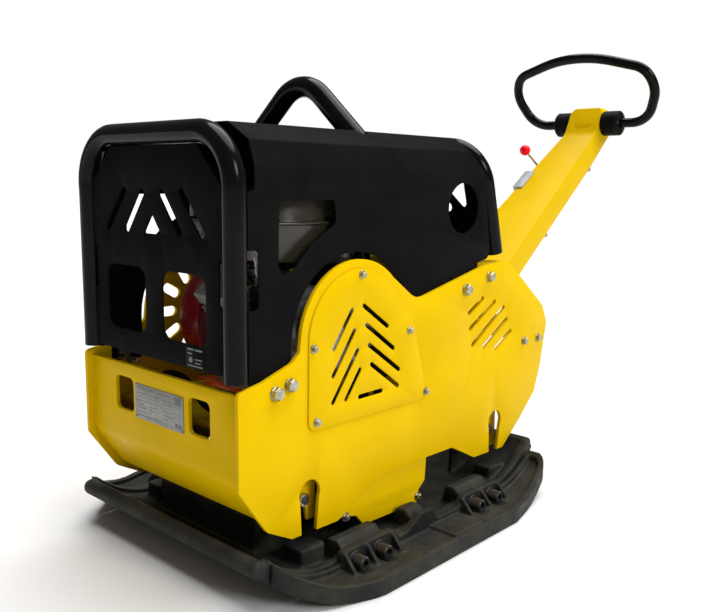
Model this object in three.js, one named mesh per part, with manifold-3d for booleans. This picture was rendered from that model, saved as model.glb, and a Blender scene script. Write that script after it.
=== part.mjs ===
// Reversible plate compactor with an engine guard, a tilting drawbar and a swinging control handle.
// Millimetres. +Z is up, +Y points to the operator's end, -Y is the front, +X is the belt side.
// The origin is on the ground, at the middle of the base plate's flat face.
import * as THREE from 'three';
import { mergeVertices } from 'three/addons/utils/BufferGeometryUtils.js';
import Module from 'manifold-3d';

const wasm = await Module();
wasm.setup();

// ---------------------------------------------------------------- driving dimensions

const GAP = 0.3;                 // air left between separate pieces that rest on each other
const SIDES = [-1, 1];

const frame = { outer: 241, sheet: 8 };            // the yellow side plates, measured from the middle
frame.inner = frame.outer - frame.sheet;
const front = { edge: -446, face: -433, top: 363, sheet: 8 };   // the side plates' edge, and the beam
const dome = { y: -165, z: 430, radius: 143 };      // round top of the side plate, about the crankshaft

const base = {
  half: 280, thick: 24, rim: 34, rimWidth: 18,
  frontStart: -276, frontRadius: 230, frontAngle: 44.5, lip: 16,
  rearStart: 232, rearRadius: 235, rearAngle: 52, rearLip: 14,
};
const tower = { half: 150, wall: 12, top: 205 };    // cast walls that carry the rubber mounts
const mounts = [{ name: 'front', y: -279 }, { name: 'rear', y: 319 }];
const mountZ = 140;
const rubberRadius = 34;
const bracket = { inner: 205, sheet: 8, half: 34, foot: 96, top: 215 };

const extension = { inner: 282, outer: 384, thick: 22, rim: 32, flange: 16, flangeTop: 56 };
const boltY = [-226, -161, 144, 210];
const bolt = { z: 34, shank: 8, head: 12.5, headLength: 27 };

const shaftZ = 110;
const frontShaft = -77;
const shaftSpacing = 120;
const rearShaft = frontShaft + shaftSpacing;
const shaft = { radius: 18, gearX: 116, gearWidth: 18, teeth: 16, module: 7.5 };
const housing = { half: 138, wall: 12, cover: 10, bay: 71 };

const crank = { y: dome.y, z: dome.z, radius: 14 };
const belt = { inner: 197, outer: 219, thick: 9, clutch: 62.5, pulley: 50 };

const deck = { top: 270, sheet: 8, front: -377, rear: 232 };
const guard = { sheet: 3, outer: 231, ridge: 164, roof: 808, tube: 20, tubeX: 220, tubeY: -433,
  tubeZ: 791 };
const rearHoop = { footY: 320, footZ: 556, topY: 253, topZ: 790 };
const lifting = { y: -78, radius: 21, leg: 166, bendZ: 782.6, apexZ: 926.9 };

const tilt = { y: 440, z: 368, radius: 15 };         // drawbar hinge
const arm = { slope: 0.686, rise: 106, depth: 67, rootHalf: 98, headHalf: 52, wall: 6 };
const grip = { y: 1155, z: 896, radius: 14, lean: 30, bush: 37, bushEnd: 103, head: 49 };
const lever = { x: -72, y: 1000, z: 752, length: 113, lean: 150.3 };

// ---------------------------------------------------------------- materials

function finish(color, roughness, metalness) {
  return new THREE.MeshStandardMaterial({ color, roughness, metalness });
}
const yellow = finish(0xf2c800, 0.4, 0.0);
const guardBlack = finish(0x17181a, 0.5, 0.2);
const castBlack = finish(0x2b2c28, 0.7, 0.3);
const steel = finish(0x9a9c9e, 0.35, 0.9);
const zinc = finish(0xb9bcbe, 0.3, 0.9);
const blackSteel = finish(0x1c1d1f, 0.45, 0.7);
const rubber = finish(0x1a1a1b, 0.85, 0.0);
const red = finish(0xa51515, 0.4, 0.1);
const alloy = finish(0xa8abad, 0.45, 0.8);
const plastic = finish(0x232426, 0.6, 0.0);
const plate = finish(0x9d9e9c, 0.4, 0.8);

// ---------------------------------------------------------------- geometry helpers

const radians = THREE.MathUtils.degToRad;
const point = ([a, b]) => new THREE.Vector2(a, b);

// A polygon from corners [a, b] or [a, b, radius]; a radius rounds its corner with an arc.
function outline(corners, stepDegrees = 30) {
  return corners.flatMap((corner, i) => {
    const [a, b, radius = 0] = corner;
    if (radius === 0) return [[a, b]];
    const at = point(corner);
    const back = point(corners.at(i - 1)).sub(at).normalize();
    const ahead = point(corners[(i + 1) % corners.length]).sub(at).normalize();
    const half = back.angleTo(ahead) / 2;
    const centre = back.clone().add(ahead).setLength(radius / Math.sin(half)).add(at);
    const start = back.clone().multiplyScalar(radius / Math.tan(half)).add(at);
    const turn = Math.sign(back.cross(ahead)) * -(Math.PI - 2 * half);
    const steps = Math.max(1, Math.ceil(Math.abs(turn) / radians(stepDegrees)));
    return Array.from({ length: steps + 1 },
      (_, k) => start.clone().rotateAround(centre, (k / steps) * turn).toArray());
  });
}

// Points of an arc from one angle to another, in degrees.
function arc(a, b, radius, from, to, steps) {
  return Array.from({ length: steps + 1 }, (_, k) => {
    const angle = radians(from + ((to - from) * k) / steps);
    return [a + radius * Math.cos(angle), b + radius * Math.sin(angle)];
  });
}
const circle = (a, b, radius, sides = 16) => arc(a, b, radius, 0, 360 - 360 / sides, sides - 1);
const rounded = (a0, a1, b0, b1, radius) => outline(
  [[a0, b0, radius], [a1, b0, radius], [a1, b1, radius], [a0, b1, radius]], 45);

// A slot with round ends between two points.
function slot([a0, b0], [a1, b1], width) {
  const angle = THREE.MathUtils.radToDeg(Math.atan2(b1 - b0, a1 - a0));
  const reach = width / 2;
  const inset = point([a1 - a0, b1 - b0]).setLength(reach);
  return [
    ...arc(a1 - inset.x, b1 - inset.y, reach, angle - 90, angle + 90, 4),
    ...arc(a0 + inset.x, b0 + inset.y, reach, angle + 90, angle + 270, 4),
  ];
}

function prism(points, depth) {
  const shape = new THREE.Shape(points.map(point));
  return new THREE.ExtrudeGeometry(shape, { depth, bevelEnabled: false, steps: 1 });
}
const basis = (x, y, z) => new THREE.Matrix4().makeBasis(
  new THREE.Vector3(...x), new THREE.Vector3(...y), new THREE.Vector3(...z));

// A closed solid, ready to join and cut.
function solid(geometry) {
  geometry.deleteAttribute('normal');
  geometry.deleteAttribute('uv');
  const merged = mergeVertices(geometry, 1e-4);
  return new wasm.Manifold(new wasm.Mesh({
    numProp: 3,
    vertProperties: new Float32Array(merged.attributes.position.array),
    triVerts: new Uint32Array(merged.index.array),
  }));
}

// Outlines drawn in (Y, Z), (X, Z) and (X, Y), and made solid along the third axis.
const along = (x0, x1, points) => solid(
  prism(points, x1 - x0).applyMatrix4(basis([0, 1, 0], [0, 0, 1], [1, 0, 0])).translate(x0, 0, 0));
const across = (y0, y1, points) => solid(
  prism(points, y1 - y0).applyMatrix4(basis([1, 0, 0], [0, 0, 1], [0, -1, 0])).translate(0, y1, 0));
const upward = (z0, z1, points) => solid(prism(points, z1 - z0).translate(0, 0, z0));
const box = (x0, x1, y0, y1, z0, z1) => solid(new THREE.BoxGeometry(x1 - x0, y1 - y0, z1 - z0)
  .translate((x0 + x1) / 2, (y0 + y1) / 2, (z0 + z1) / 2));
const rod = (x0, x1, y, z, radius, sides = 16) => along(x0, x1, circle(y, z, radius, sides));

const join = (...parts) => parts.reduce((whole, part) => whole.add(part));
const cut = (whole, ...tools) => tools.reduce((left, tool) => left.subtract(tool), whole);

// A centre line made of straight runs between its points.
class Run extends THREE.Curve {
  constructor(points) {
    super();
    this.points = points;
  }
  getUtoTmapping(u) {
    return u;
  }
  getPoint(t, target = new THREE.Vector3()) {
    const place = t * (this.points.length - 1);
    const i = Math.min(Math.floor(place + 1e-9), this.points.length - 2);
    return target.lerpVectors(this.points[i], this.points[i + 1], place - i);
  }
  getTangent(t, target = new THREE.Vector3()) {
    const i = Math.round(t * (this.points.length - 1));
    const way = (k) => this.points[Math.min(k + 1, this.points.length - 1)].clone()
      .sub(this.points[Math.min(k, this.points.length - 2)]).normalize();
    return target.copy(way(i)).add(way(Math.max(i - 1, 0))).normalize();
  }
}

// A round bar bent along corners given in a plane; ends stay open corners of the outline.
function bentBar(corners, radius, toSpace, sides = 12) {
  const line = outline(corners).map(toSpace);
  return solid(new THREE.ExtrudeGeometry(new THREE.Shape(circle(0, 0, radius, sides).map(point)), {
    steps: line.length - 1, extrudePath: new Run(line), bevelEnabled: false,
  }));
}

const compactor = new THREE.Group();

function add(name, body, material, parent = compactor) {
  const raw = body.getMesh();
  const geometry = new THREE.BufferGeometry();
  geometry.setAttribute('position', new THREE.BufferAttribute(raw.vertProperties, 3));
  geometry.setIndex(new THREE.BufferAttribute(raw.triVerts, 1));
  geometry.computeVertexNormals();
  const mesh = new THREE.Mesh(geometry, material);
  mesh.name = name;
  parent.add(mesh);
  return mesh;
}
const mirrored = (body) => body.mirror([1, 0, 0]);
const bothSides = (body) => join(body, mirrored(body));
const sideName = (side) => (side > 0 ? 'left' : 'right');

// ---------------------------------------------------------------- base plate

// Side view of a plate that is flat in the middle and curves up at both ends.
function sledge(thick, ends, steps = 4) {
  const { frontStart, frontRadius, frontAngle, rearStart, rearRadius, rearAngle } = ends;
  const rearUnder = arc(rearStart, rearRadius, rearRadius, -90, -90 + rearAngle, steps);
  const rearTop = arc(rearStart, rearRadius, rearRadius - thick, -90 + rearAngle, -90, steps);
  const frontTop = arc(frontStart, frontRadius, frontRadius - thick, -90, -90 - frontAngle, steps);
  const frontUnder = arc(frontStart, frontRadius, frontRadius, -90 - frontAngle, -90, steps);
  return [...rearUnder, ...rearTop, ...frontTop, ...frontUnder];
}

function lipCentre(start, radius, angle, sign) {
  const reach = radius - base.thick / 2;
  return [start + sign * reach * Math.sin(radians(angle)), radius - reach * Math.cos(radians(angle))];
}

function basePlate() {
  const half = base.half;
  const frontLip = lipCentre(base.frontStart, base.frontRadius, base.frontAngle, -1);
  const rearLip = lipCentre(base.rearStart, base.rearRadius, base.rearAngle, 1);
  const floor = join(
    along(-half, half, sledge(base.thick, base)),
    rod(-half + 5, half - 5, ...frontLip, base.lip, 12),
    rod(-half + 5, half - 5, ...rearLip, base.rearLip, 12),
    bothSides(along(half - base.rimWidth, half, sledge(base.rim, base))));
  const wall = tower.wall;
  const towers = join(
    box(-tower.half, tower.half, -338, -338 + wall, 20, tower.top),
    box(-tower.half, tower.half, 366, 366 + wall, 56, tower.top),
    bothSides(along(tower.half - wall, tower.half, outline(
      [[-338, 20], [-232, 20], [-232, 160, 40], [-262, tower.top, 30], [-338, tower.top]]))),
    bothSides(along(tower.half - wall, tower.half, outline(
      [[272, 20], [325, 32], [378, 56], [378, tower.top], [302, tower.top, 30], [272, 160, 40]]))));
  const bossShape = outline([[234, 20], [240, 64], [264, 64], [280, 50], [280, 20]]);
  const bosses = join(
    ...[[-240, -130], [-44, 6], [122, 230]].map(([y0, y1]) => across(y0, y1, bossShape)));
  const pads = join(...mounts.map(({ y }) => box(200, 246, y - 30, y + 30, 20, 58)));
  const holes = boltY.map((y) => rod(250, half + 5, y, bolt.z, bolt.shank + 0.4, 12));
  return cut(join(floor, towers, bothSides(join(bosses, pads))), ...holes, ...holes.map(mirrored));
}
add('base_plate', basePlate(), castBlack);

// ---------------------------------------------------------------- extension plates and their bolts

function extensionPlate() {
  const { inner, outer, thick, rim } = extension;
  const plan = [[inner, -416], [298, -412, 20], [348, -345, 90], [outer, -245, 110], [outer, 190, 90],
    [334, 394, 44], [inner, 394, 10]];
  const pocket = [[inner + 12, -388], [300, -384, 12], [336, -336, 80], [outer - 15, -240, 100],
    [outer - 15, 186, 80], [323, 379, 24], [inner + 12, 379, 4]];
  const ends = { ...base, rearStart: 240, rearRadius: 255, rearAngle: 42 };
  const floor = along(inner - 2, outer + 2, sledge(thick, ends)).intersect(upward(-5, 200, outline(plan)));
  const edge = along(inner - 2, outer + 2, sledge(rim, ends)).intersect(
    cut(upward(-5, 200, outline(plan)), upward(-6, 201, outline(pocket))));
  const flangeSide = outline([[-262, 12], [250, 12], [244, extension.flangeTop, 8],
    [112, extension.flangeTop, 8], [96, 36, 10], [22, 36, 6], [8, 62, 6], [-34, 62, 6], [-74, 36, 40],
    [-100, 36, 10], [-116, extension.flangeTop, 8], [-256, extension.flangeTop, 8]]);
  const flange = along(inner, inner + extension.flange, flangeSide);
  const rib = [[inner + 10, 12], [330, 12], [326, 26], [inner + 20, 52], [inner + 10, 52]];
  const ribs = [-252, -193, -122, 108, 176.5, 240].map((y) => across(y - 4, y + 4, rib));
  const pad = box(inner + 14, 364, -4, 96, 12, 28);
  const holes = boltY.map((y) => rod(inner - 5, inner + 30, y, bolt.z, bolt.shank + 0.4, 12));
  return cut(join(floor, edge, flange, pad, ...ribs), ...holes, ...boltY.map(
    (y) => rod(inner + extension.flange, inner + 52, y, bolt.z, bolt.head + 2, 10)));
}

function extensionBolt(y) {
  const seat = extension.inner + extension.flange + GAP;
  return cut(
    join(rod(255, seat + 2, y, bolt.z, bolt.shank, 12),
      rod(seat, seat + bolt.headLength, y, bolt.z, bolt.head, 16)),
    rod(seat + 9, seat + bolt.headLength + 1, y, bolt.z, 7, 6));
}

for (const side of SIDES) {
  const place = (body) => (side > 0 ? body : mirrored(body));
  add(`extension_plate_${sideName(side)}`, place(extensionPlate()), castBlack);
  boltY.forEach((y, i) => add(`extension_bolt_${sideName(side)}_${i + 1}`, place(extensionBolt(y)),
    blackSteel));
}

// ---------------------------------------------------------------- exciter

const exciterY = { low: frontShaft - housing.bay, high: rearShaft + housing.bay };

function exciterOutline(grow) {
  const { low, high } = exciterY;
  const foot = base.thick + GAP + (grow > 0 ? 0 : housing.wall);
  const top = shaftZ + housing.bay - 2 + grow;
  return outline([[low - grow, foot, 8], [high + grow, foot, 8], [high + grow, top, 30],
    [low - grow, top, 30]]);
}

function exciterHousing() {
  const { half, wall } = housing;
  return cut(along(-half, half, exciterOutline(wall)), along(-half - 1, half + 1, exciterOutline(0)));
}

function exciterCover() {
  const { half, cover, wall } = housing;
  return cut(along(half + GAP, half + GAP + cover, exciterOutline(wall)),
    ...[frontShaft, rearShaft].map(
      (y) => rod(half - 1, half + cover + 2, y, shaftZ, shaft.radius + 0.5, 24)));
}

// A gear drawn in (Y, Z), with backlash, turned by an angle in degrees.
function gear(y, turn) {
  const { teeth, module: m } = shaft;
  const pitch = (teeth * m) / 2;
  const tooth = 360 / teeth;
  const shape = Array.from({ length: teeth }, (_, i) => [
    [pitch - 0.95 * m, -0.33], [pitch + 0.75 * m, -0.11], [pitch + 0.75 * m, 0.11],
      [pitch - 0.95 * m, 0.33],
  ].map(([r, share]) => {
    const angle = radians(turn + (i + share) * tooth);
    return [y + r * Math.cos(angle), shaftZ + r * Math.sin(angle)];
  })).flat();
  const middle = shaft.gearX;
  return along(middle - shaft.gearWidth / 2, middle + shaft.gearWidth / 2, shape);
}

function eccentricShaft(y, end, gearTurn) {
  const weight = (x0, x1) => along(x0, x1, [
    ...arc(y, shaftZ, 54, 190, 350, 10), ...arc(y, shaftZ, shaft.radius + 6, 0, 180, 6)]);
  return join(rod(-housing.half - housing.cover, end, y, shaftZ, shaft.radius, 24),
    weight(-118, -22), weight(4, 96), gear(y, gearTurn));
}

add('exciter_housing', exciterHousing(), castBlack);
add('exciter_cover_left', exciterCover(), castBlack);
add('exciter_cover_right', mirrored(exciterCover()), castBlack);
add('eccentric_shaft_front', eccentricShaft(frontShaft, belt.inner - 5.3, 0), steel);
add('eccentric_shaft_rear', eccentricShaft(rearShaft, housing.half + housing.cover, 180 / shaft.teeth),
  steel);

// ---------------------------------------------------------------- belt drive

function grooved(y, z, radius) {
  const { inner, outer } = belt;
  const bed = radius - 1;
  return join(rod(inner - 5, outer + 5, y, z, bed, 20),
    rod(inner - 5, inner - 0.5, y, z, radius + 6, 20), rod(outer + 0.5, outer + 5, y, z, radius + 6, 20));
}

const beltEnds = [
  { y: crank.y, z: crank.z, radius: belt.clutch }, { y: frontShaft, z: shaftZ, radius: belt.pulley }];

// The outline that a belt takes round its two pulleys, grown outwards by a distance.
function beltLoop(grow) {
  const [upper, lower] = beltEnds;
  const way = THREE.MathUtils.radToDeg(Math.atan2(lower.z - upper.z, lower.y - upper.y));
  const span = Math.hypot(lower.y - upper.y, lower.z - upper.z);
  const lean = THREE.MathUtils.radToDeg(Math.acos((upper.radius - lower.radius) / span));
  return [
    ...arc(upper.y, upper.z, upper.radius + grow, way + lean, way + 360 - lean, 14),
    ...arc(lower.y, lower.z, lower.radius + grow, way - lean, way + lean, 12),
  ];
}

add('exciter_pulley', cut(grooved(frontShaft, shaftZ, belt.pulley),
  rod(belt.inner - 10, belt.inner - 5.7, frontShaft, shaftZ, shaft.radius)), blackSteel);
add('clutch', cut(join(grooved(crank.y, crank.z, belt.clutch),
  rod(belt.inner - 20, belt.inner - 4, crank.y,
  crank.z, 44, 20)), rod(belt.inner - 21, belt.inner - 12, crank.y, crank.z, crank.radius + GAP)), steel);
add('drive_belt', cut(along(belt.inner + GAP, belt.outer - GAP, beltLoop(belt.thick)),
  along(belt.inner - 1, belt.outer + 1, beltLoop(0.4))), rubber);

// ---------------------------------------------------------------- rubber mounts and their brackets

function shockMount(y) {
  const seat = bracket.inner + bracket.sheet + GAP;
  return join(rod(tower.half + GAP, bracket.inner - GAP, y, mountZ, rubberRadius, 20),
    rod(bracket.inner - 2, seat + 1, y, mountZ, 6, 10), rod(seat, seat + 3, y, mountZ, 13, 14),
    rod(seat + 2, seat + 10, y, mountZ, 10, 6));
}

function mountBracket(y) {
  const { inner, sheet, half, foot, top } = bracket;
  const shape = outline([[y - half, foot], [y - 14, foot], [y - 7.5, mountZ, 0], [y - 5, mountZ + 6],
    [y + 5, mountZ + 6], [y + 7.5, mountZ], [y + 14, foot], [y + half, foot], [y + half, top],
      [y - half, top]]);
  return join(along(inner, inner + sheet, shape),
    box(inner + sheet - 1, frame.inner - GAP, y - half, y + half, top - sheet, top));
}

for (const side of SIDES) {
  const place = (body) => (side > 0 ? body : mirrored(body));
  for (const { name, y } of mounts) {
    add(`shock_mount_${name}_${sideName(side)}`, place(shockMount(y)), rubber);
    add(`mount_bracket_${name}_${sideName(side)}`, place(mountBracket(y)), yellow);
  }
}

// ---------------------------------------------------------------- yellow frame

function keyhole(y, foot0, foot1, centreZ, radius, footZ) {
  const shape = [...arc(y, centreZ, radius, -25, 205, 10), [foot0, footZ], [foot1, footZ]];
  return along(frame.inner - 5, frame.outer + 5, shape);
}

function sidePlateBlank() {
  return outline([[front.edge, 373, 9], [-395, 382, 60], [-329, 404, 14], [-310, 420, 14],
    ...arc(dome.y, dome.z, dome.radius, 170, 46, 12),
    [8, 481, 60], [240, 533, 30], [330, 541, 30], [394, 498, 30], [500, 419, 14], [523, 376, 18],
    [502, 271, 20], [479, 208, 20], [418, 153, 20], [345, 96, 8], [228, 100, 10], [144, 143, 28],
    [60, 144, 20], [-80, 141, 20], [-146, 128, 40], [-187, 96, 20], [-214, 86, 10], [-328, 88, 10],
    [-385, 118, 20], [front.edge, 205, 14]]);
}

const rearVents = [
  [[246, 464], [187, 431]], [[293, 452], [193, 396]], [[331, 435], [204, 359]],
  [[346, 406], [248, 348]], [[364, 376], [296, 338]],
];

function sidePlate() {
  return cut(along(frame.inner, frame.outer, sidePlateBlank()),
    keyhole(-285, -304, -269, 160, 26, 70), keyhole(308, 289, 320, 167, 26, 85),
    ...rearVents.map(([from, to]) => along(frame.inner - 5, frame.outer + 5, slot(from, to, 11))));
}

// Opening behind the belt cover.
const beltOpening = [[-270, 296, 14], [-270, 440, 60], [-215, 530, 70], [-110, 530, 70], [-18, 420, 60],
  [22, 296, 14]];

// Ring of air slots round the engine fan.
function fanSlots() {
  const count = 12;
  return Array.from({ length: count }, (_, i) => {
    const angle = radians((i * 360) / count);
    const at = (r) => [dome.y + r * Math.cos(angle), dome.z + r * Math.sin(angle)];
    return along(frame.inner - 5, frame.outer + 5, slot(at(66), at(112), 22));
  });
}

add('side_plate_left', cut(sidePlate(), along(frame.inner - 5, frame.outer + 5, outline(beltOpening))),
  yellow);
add('side_plate_right', mirrored(cut(sidePlate(), ...fanSlots())), yellow);

// A bent sheet let in between the side plates, with two tie-down windows.
function frontBeam() {
  const { face, top, sheet } = front;
  const x = frame.inner - GAP;
  const section = outline([[face, top], [face, 211, 50], [-374, 126], [-367, 130], [face + sheet, 213, 42],
    [face + sheet, top]]);
  return cut(along(-x, x, section), ...SIDES.map(
    (side) => across(face - 5, face + 15, rounded(side * 118 - 31, side * 118 + 31, 271, 338, 12))));
}
add('front_beam', frontBeam(), yellow);

add('engine_deck', cut(
  box(-frame.inner + GAP, frame.inner - GAP, deck.front, deck.rear, deck.top - deck.sheet, deck.top),
  box(184, frame.inner + 5, -246, 4, deck.top - deck.sheet - 1, deck.top + 1)), yellow);

const rearBeam = { front: 234, rear: 330, top: 534, sheet: 6 };
add('rear_beam', join(
  box(-frame.inner + GAP, frame.inner - GAP, rearBeam.front, rearBeam.front + rearBeam.sheet, 262,
    rearBeam.top - 2),
  along(-frame.inner + GAP, frame.inner - GAP, outline([
    [rearBeam.front, rearBeam.top - 8], [rearBeam.rear, rearBeam.top - 2],
    [rearBeam.rear, rearBeam.top + 4], [rearBeam.front, rearBeam.top - 2]]))), yellow);

// ---------------------------------------------------------------- belt covers

const coverSlots = [
  [[-180, 485], [-232, 413]], [[-173, 447], [-233, 363]], [[-164, 409], [-233, 314]],
    [[-157, 371], [-199, 314]],
  [[-154, 489], [-80, 438]], [[-146, 452], [-61, 392]], [[-138, 413], [-43, 347]],
    [[-131, 375], [-46, 315]],
  [[-164, 315], [-94, 316]],
];

const coverX = frame.outer + GAP;
const coverBlank = outline([
  ...arc(dome.y, dome.z, 126, 174, 48, 12), [-6, 446, 90], [45, 275, 17], [-291, 275, 17]]);
add('belt_cover', cut(along(coverX, coverX + 3, coverBlank),
  ...coverSlots.map(([from, to]) => along(coverX - 2, coverX + 5, slot(from, to, 9)))), yellow);

add('lower_belt_cover', along(226, frame.inner - GAP, outline([[-212, 200], [-207, 88, 8], [-152, 75, 6],
  [-128, 46, 4], [-118, 50], [14, 47], [35, 47, 6], [40, 74], [60, 90], [68, 200]])), yellow);

// ---------------------------------------------------------------- engine guard

const toFront = ([x, z]) => new THREE.Vector3(x, guard.tubeY, z);
add('front_hoop', bentBar([
  [-guard.tubeX, 386], [-guard.tubeX, guard.tubeZ, 90], [guard.tubeX, guard.tubeZ, 90],
    [guard.tubeX, 386]],
guard.tube, toFront), guardBlack);

function frontGuardPanel() {
  const x = guard.tubeX - guard.tube - GAP;
  const top = guard.tubeZ - guard.tube - 0.6;
  const y = [-440, -436];
  const halfShape = outline([[0, 392], [x, 392, 10], [x, 502], [x - 12, 510, 5], [x - 12, 584, 5],
    [x, 592],
    [x, 700], [132, top], [0, top]]);
  const window = rounded(26, 152, 434, 555, 24);
  const halfTools = [window, slot([83, 697], [149, 618], 15), slot([26, 694], [85, 618], 15)];
  return cut(bothSides(across(...y, halfShape)),
    ...halfTools.flatMap((shape) => {
      const tool = across(y[0] - 5, y[1] + 5, shape);
      return [tool, mirrored(tool)];
    }),
    across(y[0] - 5, y[1] + 5, outline([[0, 652, 3], [-27, 617, 3], [27, 617, 3]])));
}
add('front_guard_panel', frontGuardPanel(), guardBlack);

const hoodSection = (inset) => outline([
  [guard.outer - inset, 300], [guard.outer - inset, 735 - inset * 0.2],
    [217 - inset * 0.8, 778 - inset * 0.5],
  [guard.ridge - inset * 0.2, guard.roof - inset], [-guard.ridge + inset * 0.2, guard.roof - inset],
  [-217 + inset * 0.8, 778 - inset * 0.5], [-guard.outer + inset, 735 - inset * 0.2],
    [-guard.outer + inset, 300]]);

const liftingCorners = [[lifting.leg, deck.top + GAP], [lifting.leg, lifting.bendZ, 45],
  [0, lifting.apexZ, 83],
  [-lifting.leg, lifting.bendZ, 45], [-lifting.leg, deck.top + GAP]];
const toLifting = ([x, z]) => new THREE.Vector3(x, lifting.y, z);

function hood() {
  const sideView = outline([[-322, 342, 8], [-391, 342, 8], [-391, 383], [-414.3, 377], [-414.3, 692, 4],
    [-399, 698], [-399, guard.roof + 1], [223, guard.roof + 1], [223, guard.roof], [208, 779], [246, 735],
    [278, 549, 20], [230, 540], [230, 520],
    [8, 480, 50], ...arc(dome.y, dome.z, dome.radius + 13, 46, 178, 12)]);
  const through = (points) => along(-guard.outer - 5, guard.outer + 5, points);
  const shell = cut(across(-420, 290, hoodSection(0)), across(-421, 291, hoodSection(guard.sheet)));
  return cut(shell.intersect(through(sideView)),
    through(outline([[-349, 681, 6], [-217, 681, 10], [-211, 640, 12], [-271, 606, 20], [-316, 562, 12],
      [-341, 556, 8], [-350, 574, 8]])),
    through(rounded(-440, -392, 503, 601, 8)),
    through(circle(173, 659, 53, 20)),
    bentBar(liftingCorners, lifting.radius + 1.5, toLifting));
}
add('hood', hood(), guardBlack);

const rearSlope = (z) => rearHoop.footY + ((z - rearHoop.footZ) * (rearHoop.topY - rearHoop.footY))
  / (rearHoop.topZ - rearHoop.footZ);
const toRear = ([x, z]) => new THREE.Vector3(x, rearSlope(z), z);
add('rear_hoop', bentBar([
  [-213, rearHoop.footZ], [-213, rearHoop.topZ, 80], [213, rearHoop.topZ, 80], [213, rearHoop.footZ]],
guard.tube, toRear), guardBlack);

function rearGuardPanel() {
  const [low, high] = [562, 768];
  const sheet = along(-193, 193, [[rearSlope(low) - 3, low], [rearSlope(low) + 3, low],
    [rearSlope(high) + 3, high], [rearSlope(high) - 3, high]]);
  const shape = outline([[-191.5, low - 1], [191.5, low - 1], [191.5, high - 0.5, 58],
    [-191.5, high - 0.5, 58]]);
  const holes = [slot([112, 650], [42, 704], 22), outline([[108, 697, 4], [143, 659, 4],
    [150.6, 657], [156.5, 664], [156.5, 735, 6], [146, 735, 6]])].map((hole) => across(200, 400, hole));
  return cut(sheet.intersect(across(200, 400, shape)), ...holes, ...holes.map(mirrored));
}
add('rear_guard_panel', rearGuardPanel(), guardBlack);
add('lifting_hoop', bentBar(liftingCorners, lifting.radius, toLifting), guardBlack);

// ---------------------------------------------------------------- engine

const bed = deck.top + GAP;
function crankcase() {
  const body = along(-66, 104, outline([[-250, 312, 12], [-74, 312, 12], [-62, 350, 30], [-66, 500, 40],
    [-190, 508, 40], [-258, 470, 30]]));
  const feet = [[-246, -206], [-118, -78]].map(([y0, y1]) => box(-80, 118, y0, y1, bed, 318));
  const boss = rod(100, 130, crank.y, crank.z, 52, 24);
  return cut(join(body, ...feet, boss), rod(-70, 135, crank.y, crank.z, crank.radius + 0.5, 20));
}
add('crankcase', crankcase(), alloy);
add('crankshaft', rod(-72, belt.inner - 12.5, crank.y, crank.z, crank.radius, 20), steel);

// Cylinder and head, leaning forward, with fins.
function cylinderBlock() {
  const fins = Array.from({ length: 7 }, (_, i) => box(-16, 96, -48, 48, 26 + i * 9, 30 + i * 9));
  const upright = join(box(-4, 84, -36, 36, 0, 110), ...fins, box(-14, 94, -46, 46, 92, 118));
  return upright.rotate([38, 0, 0]).translate([0, -236, 436]);
}
add('cylinder', cylinderBlock().subtract(crankcase().translate([0, -GAP, 0])).subtract(crankcase()), alloy);

// The starter and blower drum, with the duct that takes its air up to the cylinder.
function blowerHousing() {
  const drum = rod(-143, -84, crank.y, crank.z, 121, 32);
  const duct = along(-143, -58, outline([[-262, 470, 16], [-250, 402], [-160, 330], [-120, 500],
    [-160, 548, 20], [-240, 548, 20]]));
  return cut(join(drum, duct), rod(-84.1, -50, crank.y, crank.z, 125, 28),
    along(-84, -57.9, outline([[-256, 300], [-40, 300], [-40, 520], [-200, 520], [-264, 480]])),
    box(-70.5, 110, -260, -60, 300, 512));
}
add('blower_housing', blowerHousing(), red);

add('muffler', along(102, 168, outline([[-350, 462, 22], [-254, 462, 22], [-254, 558, 22],
  [-350, 558, 22]])), plastic);
add('air_filter', along(-10, 112, outline([[-52, 420, 16], [58, 420, 16], [58, 544, 24],
  [-52, 544, 24]])), plastic);

const cap = { x: 60, y: -200, z: 704 };

// A tank of two halves with a seam, under the hood's front window.
function fuelTank() {
  const lower = upward(572, 640, rounded(-90, 208, -330, -108, 54));
  const upper = upward(640, 700, rounded(-84, 202, -324, -112, 50));
  const seam = upward(637, 642, rounded(-94, 212, -334, -104, 58));
  return cut(join(lower, upper, seam, upward(680, cap.z, circle(cap.x, cap.y, 30, 20))),
    upward(cap.z - 8, cap.z + 1, circle(cap.x, cap.y, 22, 20)));
}
add('fuel_tank', fuelTank(), plastic);
add('fuel_cap', join(upward(cap.z + 0.4, cap.z + 18, circle(cap.x, cap.y, 33, 24)),
  upward(cap.z - 6, cap.z + 1, circle(cap.x, cap.y, 20, 20)),
  box(cap.x - 28, cap.x + 28, cap.y - 6, cap.y + 6, cap.z + 16, cap.z + 26)), plastic);
add('battery', join(box(-130, 60, 112, 208, bed, 440), box(-112, -96, 130, 146, 439, 450),
  box(26, 42, 130, 146, 439, 450)), plastic);

// ---------------------------------------------------------------- drawbar

const upperZ = (y) => arm.rise + arm.slope * y;
const lowerZ = (y) => upperZ(y) - arm.depth * Math.hypot(1, arm.slope);

function armOutline() {
  const hub = 40;
  return [
    ...arc(tilt.y, tilt.z, hub, 128, 300, 9),
    [560, lowerZ(560)], [1085, lowerZ(1085)],
    ...arc(grip.y, grip.z, grip.head, -40, 110, 9),
    [1100, upperZ(1100) + 4], [540, upperZ(540)],
  ];
}

const taperEnd = 1085;
const halfAt = (y) => arm.rootHalf + ((arm.headHalf - arm.rootHalf) * (y - tilt.y)) / (taperEnd - tilt.y);

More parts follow.
